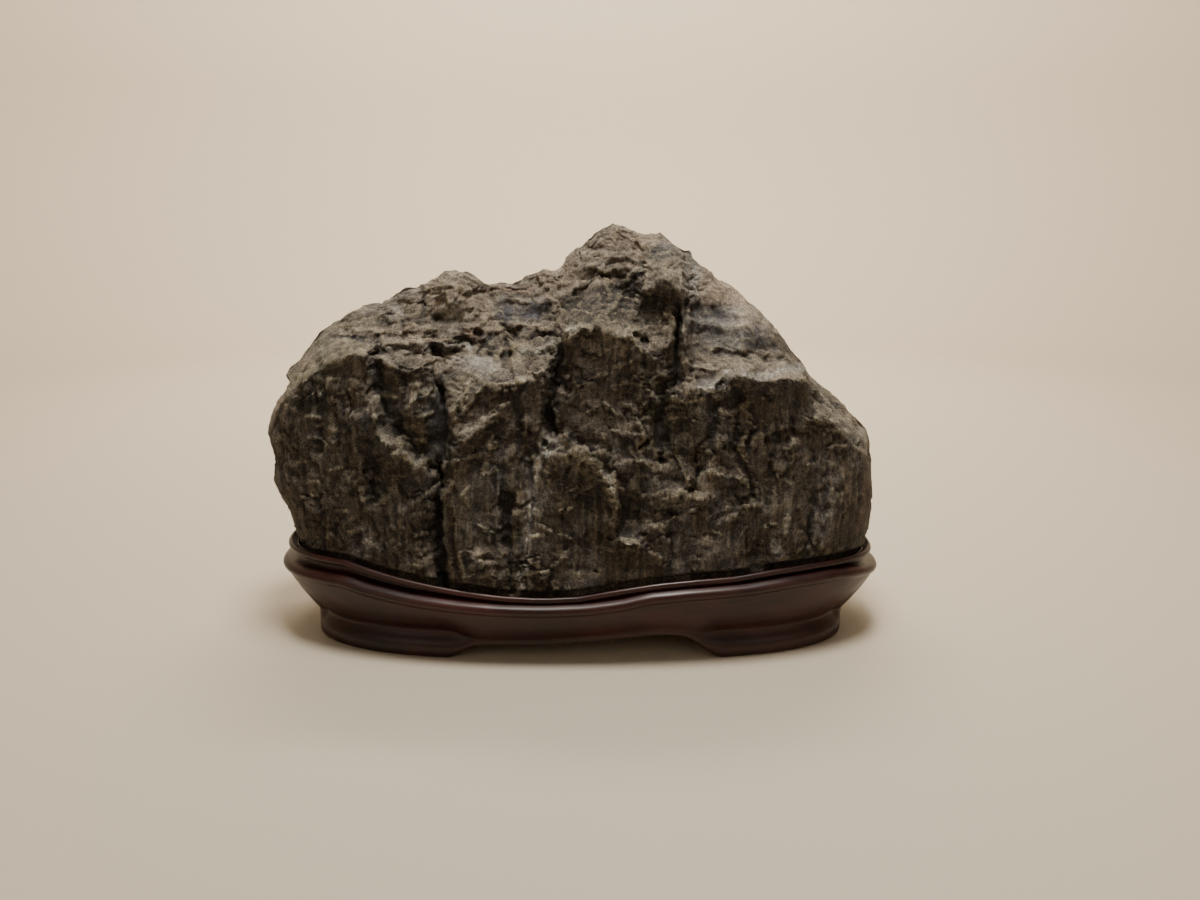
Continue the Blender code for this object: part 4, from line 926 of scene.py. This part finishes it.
def build_stand():
    """The stand as one mesh, its columns closest together where a foot stops."""
    quarter = [a for start, stop, step in QUARTER_STEPS for a in np.arange(start, stop, step)]
    half = quarter + [90] + [180 - a for a in reversed(quarter[1:])]
    angles = [math.radians(a) for a in half] + [math.radians(a + 180) for a in half]
    bm = bmesh.new()
    rings = []
    for angle in angles:
        curve = between_knots(np.array(stand_column(angle)), ROW_STEPS)
        rings.append([bm.verts.new(p) for p in curve])
    for this, after in zip(rings, rings[1:] + rings[:1]):
        for k in range(len(this) - 1):
            bm.faces.new((this[k], this[k + 1], after[k + 1], after[k]))
    bm.faces.new([ring[0] for ring in rings])
    bm.faces.new([ring[-1] for ring in reversed(rings)])
    bmesh.ops.recalc_face_normals(bm, faces=bm.faces)
    mesh = bpy.data.meshes.new("stand_wood")
    bm.to_mesh(mesh)
    bm.free()
    mesh.shade_smooth()
    stand = bpy.data.objects.new("stand_wood", mesh)
    bpy.context.collection.objects.link(stand)
    return stand


# ---- materials ---------------------------------------------------------------------------------
WOOD_TINTS = ((0.008, 0.0026, 0.0022, 1.0), (0.038, 0.0090, 0.0072, 1.0))
CREST_GAIN = (2.8, 2.8, 2.8)            # the stone's colour on lit crests: times this,
CREST_LIFT = (0.095, 0.086, 0.063)      # plus this


def new_material(name):
    """A material with its node tree and its shader."""
    material = bpy.data.materials.new(name)
    material.use_nodes = True
    tree = material.node_tree
    return material, tree, tree.nodes["Principled BSDF"]


def node(tree, kind, inputs=None, **settings):
    """A new node, with each input linked to a socket or set to a value."""
    made = tree.nodes.new(kind)
    for key, value in settings.items():
        setattr(made, key, value)
    for key, value in (inputs or {}).items():
        if isinstance(value, bpy.types.NodeSocket):
            tree.links.new(value, made.inputs[key])
        else:
            made.inputs[key].default_value = value
    return made


def attribute(tree, name, output):
    return node(tree, "ShaderNodeAttribute", attribute_name=name).outputs[output]


def stretched(tree, scale):
    """Object coordinates in m, multiplied along each axis."""
    place = node(tree, "ShaderNodeTexCoord").outputs["Object"]
    return node(tree, "ShaderNodeMapping", {"Vector": place, "Scale": scale}).outputs["Vector"]


def cloudy(tree, scale, detail, **more):
    """A noise with the given number of lumps to the metre along each axis."""
    inputs = {"Vector": stretched(tree, scale), "Scale": 1.0, "Detail": detail, **more}
    return node(tree, "ShaderNodeTexNoise", inputs).outputs["Fac"]


def ramp(tree, factor, low, high, to_low, to_high):
    """Carries low..high over to to_low..to_high, and holds the ends."""
    return node(tree, "ShaderNodeMapRange", {"Value": factor, "From Min": low, "From Max": high,
                                             "To Min": to_low, "To Max": to_high}).outputs["Result"]


def maths(tree, operation, *inputs):
    made = node(tree, "ShaderNodeMath", dict(enumerate(inputs)), operation=operation)
    return made.outputs[0]


def times(tree, a, b):
    return maths(tree, "MULTIPLY", a, b)


def larger(tree, a, b):
    return maths(tree, "MAXIMUM", a, b)


def plus_share(tree, extra, share, base):
    """base + share of extra."""
    return maths(tree, "MULTIPLY_ADD", extra, share, base)


def mixed(tree, share, low, high):
    return node(tree, "ShaderNodeMix", {0: share, 2: low, 3: high}, data_type="FLOAT").outputs[0]


def mixed_colour(tree, share, low, high):
    return node(tree, "ShaderNodeMix", {0: share, 6: low, 7: high}, data_type="RGBA").outputs[2]


def chipped(tree, scale, ragged):
    """A height that differs from chip to chip, with sharp and ragged steps between them."""
    place = stretched(tree, scale)
    shift = node(tree, "ShaderNodeTexNoise", {"Vector": place, "Scale": 1.7, "Detail": 3.0})
    moved = node(tree, "ShaderNodeVectorMath", {0: shift.outputs["Color"], 1: (ragged,) * 3,
                 2: place}, operation="MULTIPLY_ADD").outputs["Vector"]
    cell = node(tree, "ShaderNodeTexVoronoi", {"Vector": moved, "Scale": 1.0}).outputs["Color"]
    return node(tree, "ShaderNodeSeparateColor", {"Color": cell}).outputs["Red"]


def thin_lines(tree, scale, half_width):
    """1 along wandering lines, where a noise passes through its middle value."""
    field = cloudy(tree, scale, 4.0, Roughness=0.65, Distortion=0.3)
    off_line = maths(tree, "ABSOLUTE", maths(tree, "SUBTRACT", field, 0.5))
    return ramp(tree, off_line, 0.0, half_width, 1.0, 0.0)


def stone_material():
    """Grain, chips, crests with a painted highlight and upright grooves with painted shade over the
    painted colour of the stone.
    """
    material, tree, shader = new_material("stone")
    stone = attribute(tree, "stone", "Color")
    level = attribute(tree, "level", "Fac")
    rough = attribute(tree, "rough", "Fac")
    fibre = cloudy(tree, (620, 620, 90), 3.0, Roughness=0.65)
    grain = cloudy(tree, (700, 700, 700), 4.0, Roughness=0.8)
    texture = mixed(tree, level, mixed(tree, 0.6, fibre, grain), grain)
    plates = mixed(tree, level, chipped(tree, (190, 190, 120), 1.1),
                   chipped(tree, (95, 95, 250), 1.3))
    chips = plus_share(tree, plates, 0.6, times(tree, chipped(tree, (430, 430, 330), 0.9), 0.4))

    # Thin broken crests and flecks with a painted highlight, lighter than the stone round them, and
    # upright grooves with painted shade.
    patches = larger(tree, ramp(tree, cloudy(tree, (42, 42, 36), 2.0), 0.40, 0.60, 0.15, 1.0),
                     times(tree, level, 0.42))
    patches = times(tree, patches, rough)
    flecks = cloudy(tree, (480, 480, 480), 2.0, Roughness=0.7)
    crest = larger(tree, thin_lines(tree, (110, 110, 250), 0.022),
                   thin_lines(tree, (270, 270, 400), 0.030))
    crest = larger(tree, crest, ramp(tree, flecks, 0.60, 0.68, 0.0, 1.0))
    crest = times(tree, crest, patches)
    groove = times(tree, thin_lines(tree, (210, 210, 22), 0.035),
                   maths(tree, "SUBTRACT", 1.0, level))
    groove = times(tree, groove, rough)

    # The grain has more contrast on the cliffs than on level ground.
    darkest = ramp(tree, level, 0.0, 1.0, 0.25, 0.50)
    lightest = ramp(tree, level, 0.0, 1.0, 1.75, 1.50)
    shade = times(tree, ramp(tree, texture, 0.38, 0.62, darkest, lightest),
                  ramp(tree, chips, 0.15, 0.85, 0.58, 1.42))
    # Painted shade: the colour darkens in the upright grooves.
    shade = times(tree, shade, ramp(tree, groove, 0.0, 1.0, 1.0, 0.45))
    tint = node(tree, "ShaderNodeVectorMath", {0: stone, "Scale": shade}, operation="SCALE")
    # Painted highlight: along crests and flecks the colour turns to this lit tint.
    lit = node(tree, "ShaderNodeVectorMath", {0: stone, 1: CREST_GAIN, 2: CREST_LIFT},
               operation="MULTIPLY_ADD")
    colour = mixed_colour(tree, times(tree, crest, 0.60), tint.outputs["Vector"],
                          lit.outputs["Vector"])
    tree.links.new(colour, shader.inputs["Base Color"])
    tree.links.new(ramp(tree, grain, 0.3, 0.7, 0.85, 0.60), shader.inputs["Roughness"])
    shader.inputs["Specular IOR Level"].default_value = 0.35

    height = plus_share(tree, chips, 0.7, texture)
    height = plus_share(tree, crest, 0.55, height)
    height = plus_share(tree, groove, -0.45, height)
    depth = ramp(tree, rough, 0.0, 1.0, 0.3, 1.0)
    bump = node(tree, "ShaderNodeBump", {"Height": height, "Strength": depth,
                "Distance": 0.0012})
    tree.links.new(bump.outputs["Normal"], shader.inputs["Normal"])
    return material


def wood_material():
    """Dark polished rosewood with its grain along the stand."""
    material, tree, shader = new_material("rosewood")
    grain = cloudy(tree, (14, 150, 210), 4.0, Roughness=0.6, Distortion=0.4)
    both = maths(tree, "ADD", grain, cloudy(tree, (18, 18, 18), 2.0))
    tint = mixed_colour(tree, ramp(tree, both, 0.75, 1.25, 0.0, 1.0), *WOOD_TINTS)
    tree.links.new(tint, shader.inputs["Base Color"])
    tree.links.new(ramp(tree, grain, 0.3, 0.7, 0.31, 0.39), shader.inputs["Roughness"])
    shader.inputs["Specular IOR Level"].default_value = 0.36
    bump = node(tree, "ShaderNodeBump", {"Height": grain, "Strength": 0.15, "Distance": 0.0004})
    tree.links.new(bump.outputs["Normal"], shader.inputs["Normal"])
    return material


# ---- stage -------------------------------------------------------------------------------------
def build_stage():
    """A round pale floor that sweeps up into a wall on every side."""
    sweep = np.radians(np.arange(0, 91, 9))
    profile = [(STAGE_FLOOR + STAGE_SWEEP * math.sin(a), STAGE_SWEEP * (1 - math.cos(a)))
               for a in sweep] + [(STAGE_FLOOR + STAGE_SWEEP, STAGE_TOP)]
    bm = bmesh.new()
    turn = np.linspace(0, 2 * math.pi, STAGE_SIDES + 1)[:-1]
    rings = [[bm.verts.new((r * math.cos(a), r * math.sin(a), z)) for a in turn]
             for r, z in profile]
    ground = bm.faces.new(rings[0])
    for low, high in zip(rings, rings[1:]):
        for k in range(len(turn)):
            after = (k + 1) % len(turn)
            bm.faces.new((low[k], low[after], high[after], high[k])).smooth = True
    bmesh.ops.recalc_face_normals(bm, faces=bm.faces)
    if ground.normal.z < 0:
        bmesh.ops.reverse_faces(bm, faces=bm.faces)
    mesh = bpy.data.meshes.new("floor")
    bm.to_mesh(mesh)
    bm.free()
    floor = bpy.data.objects.new("floor", mesh)
    bpy.context.collection.objects.link(floor)
    material, tree, shader = new_material("floor")
    cloud = node(tree, "ShaderNodeTexNoise", {"Scale": 3.0, "Detail": 2.0}).outputs["Fac"]
    tree.links.new(mixed_colour(tree, cloud, *FLOOR_TINTS), shader.inputs["Base Color"])
    shader.inputs["Roughness"].default_value = 0.75
    mesh.materials.append(material)
    return floor


def add_light(name, place, target, size, energy, colour):
    """A round lamp at place that faces target."""
    light = bpy.data.lights.new(name, "AREA")
    light.shape = "DISK"
    light.size = size
    light.energy = energy
    light.color = colour
    lamp = bpy.data.objects.new(name, light)
    lamp.location = place
    lamp.rotation_euler = (Vector(target) - Vector(place)).to_track_quat("-Z", "Y").to_euler()
    bpy.context.collection.objects.link(lamp)


noise.seed_set(NOISE_SEED)
rock = build_rock()
rock.data.materials.clear()
rock.data.materials.append(stone_material())
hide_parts("rock")
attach(rock, "root")

stand = build_stand()
stand.data.materials.append(wood_material())
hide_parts("stand")
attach(stand, "root")

floor = build_stage()

for light in LIGHTS:
    add_light(*light)
world = bpy.data.worlds.new("studio")
world.use_nodes = True
world.node_tree.nodes["Background"].inputs["Color"].default_value = WORLD_COLOUR
world.node_tree.nodes["Background"].inputs["Strength"].default_value = WORLD_STRENGTH
bpy.context.scene.world = world

camera = bpy.data.objects.new("camera", bpy.data.cameras.new("camera"))
camera.location = CAMERA_PLACE
camera.rotation_euler = (math.radians(90 - CAMERA_DOWN), 0.0, 0.0)
camera.data.lens = CAMERA_LENS
camera.data.sensor_width = CAMERA_SENSOR
camera.data.clip_start = CAMERA_NEAR
bpy.context.collection.objects.link(camera)
bpy.context.scene.camera = camera
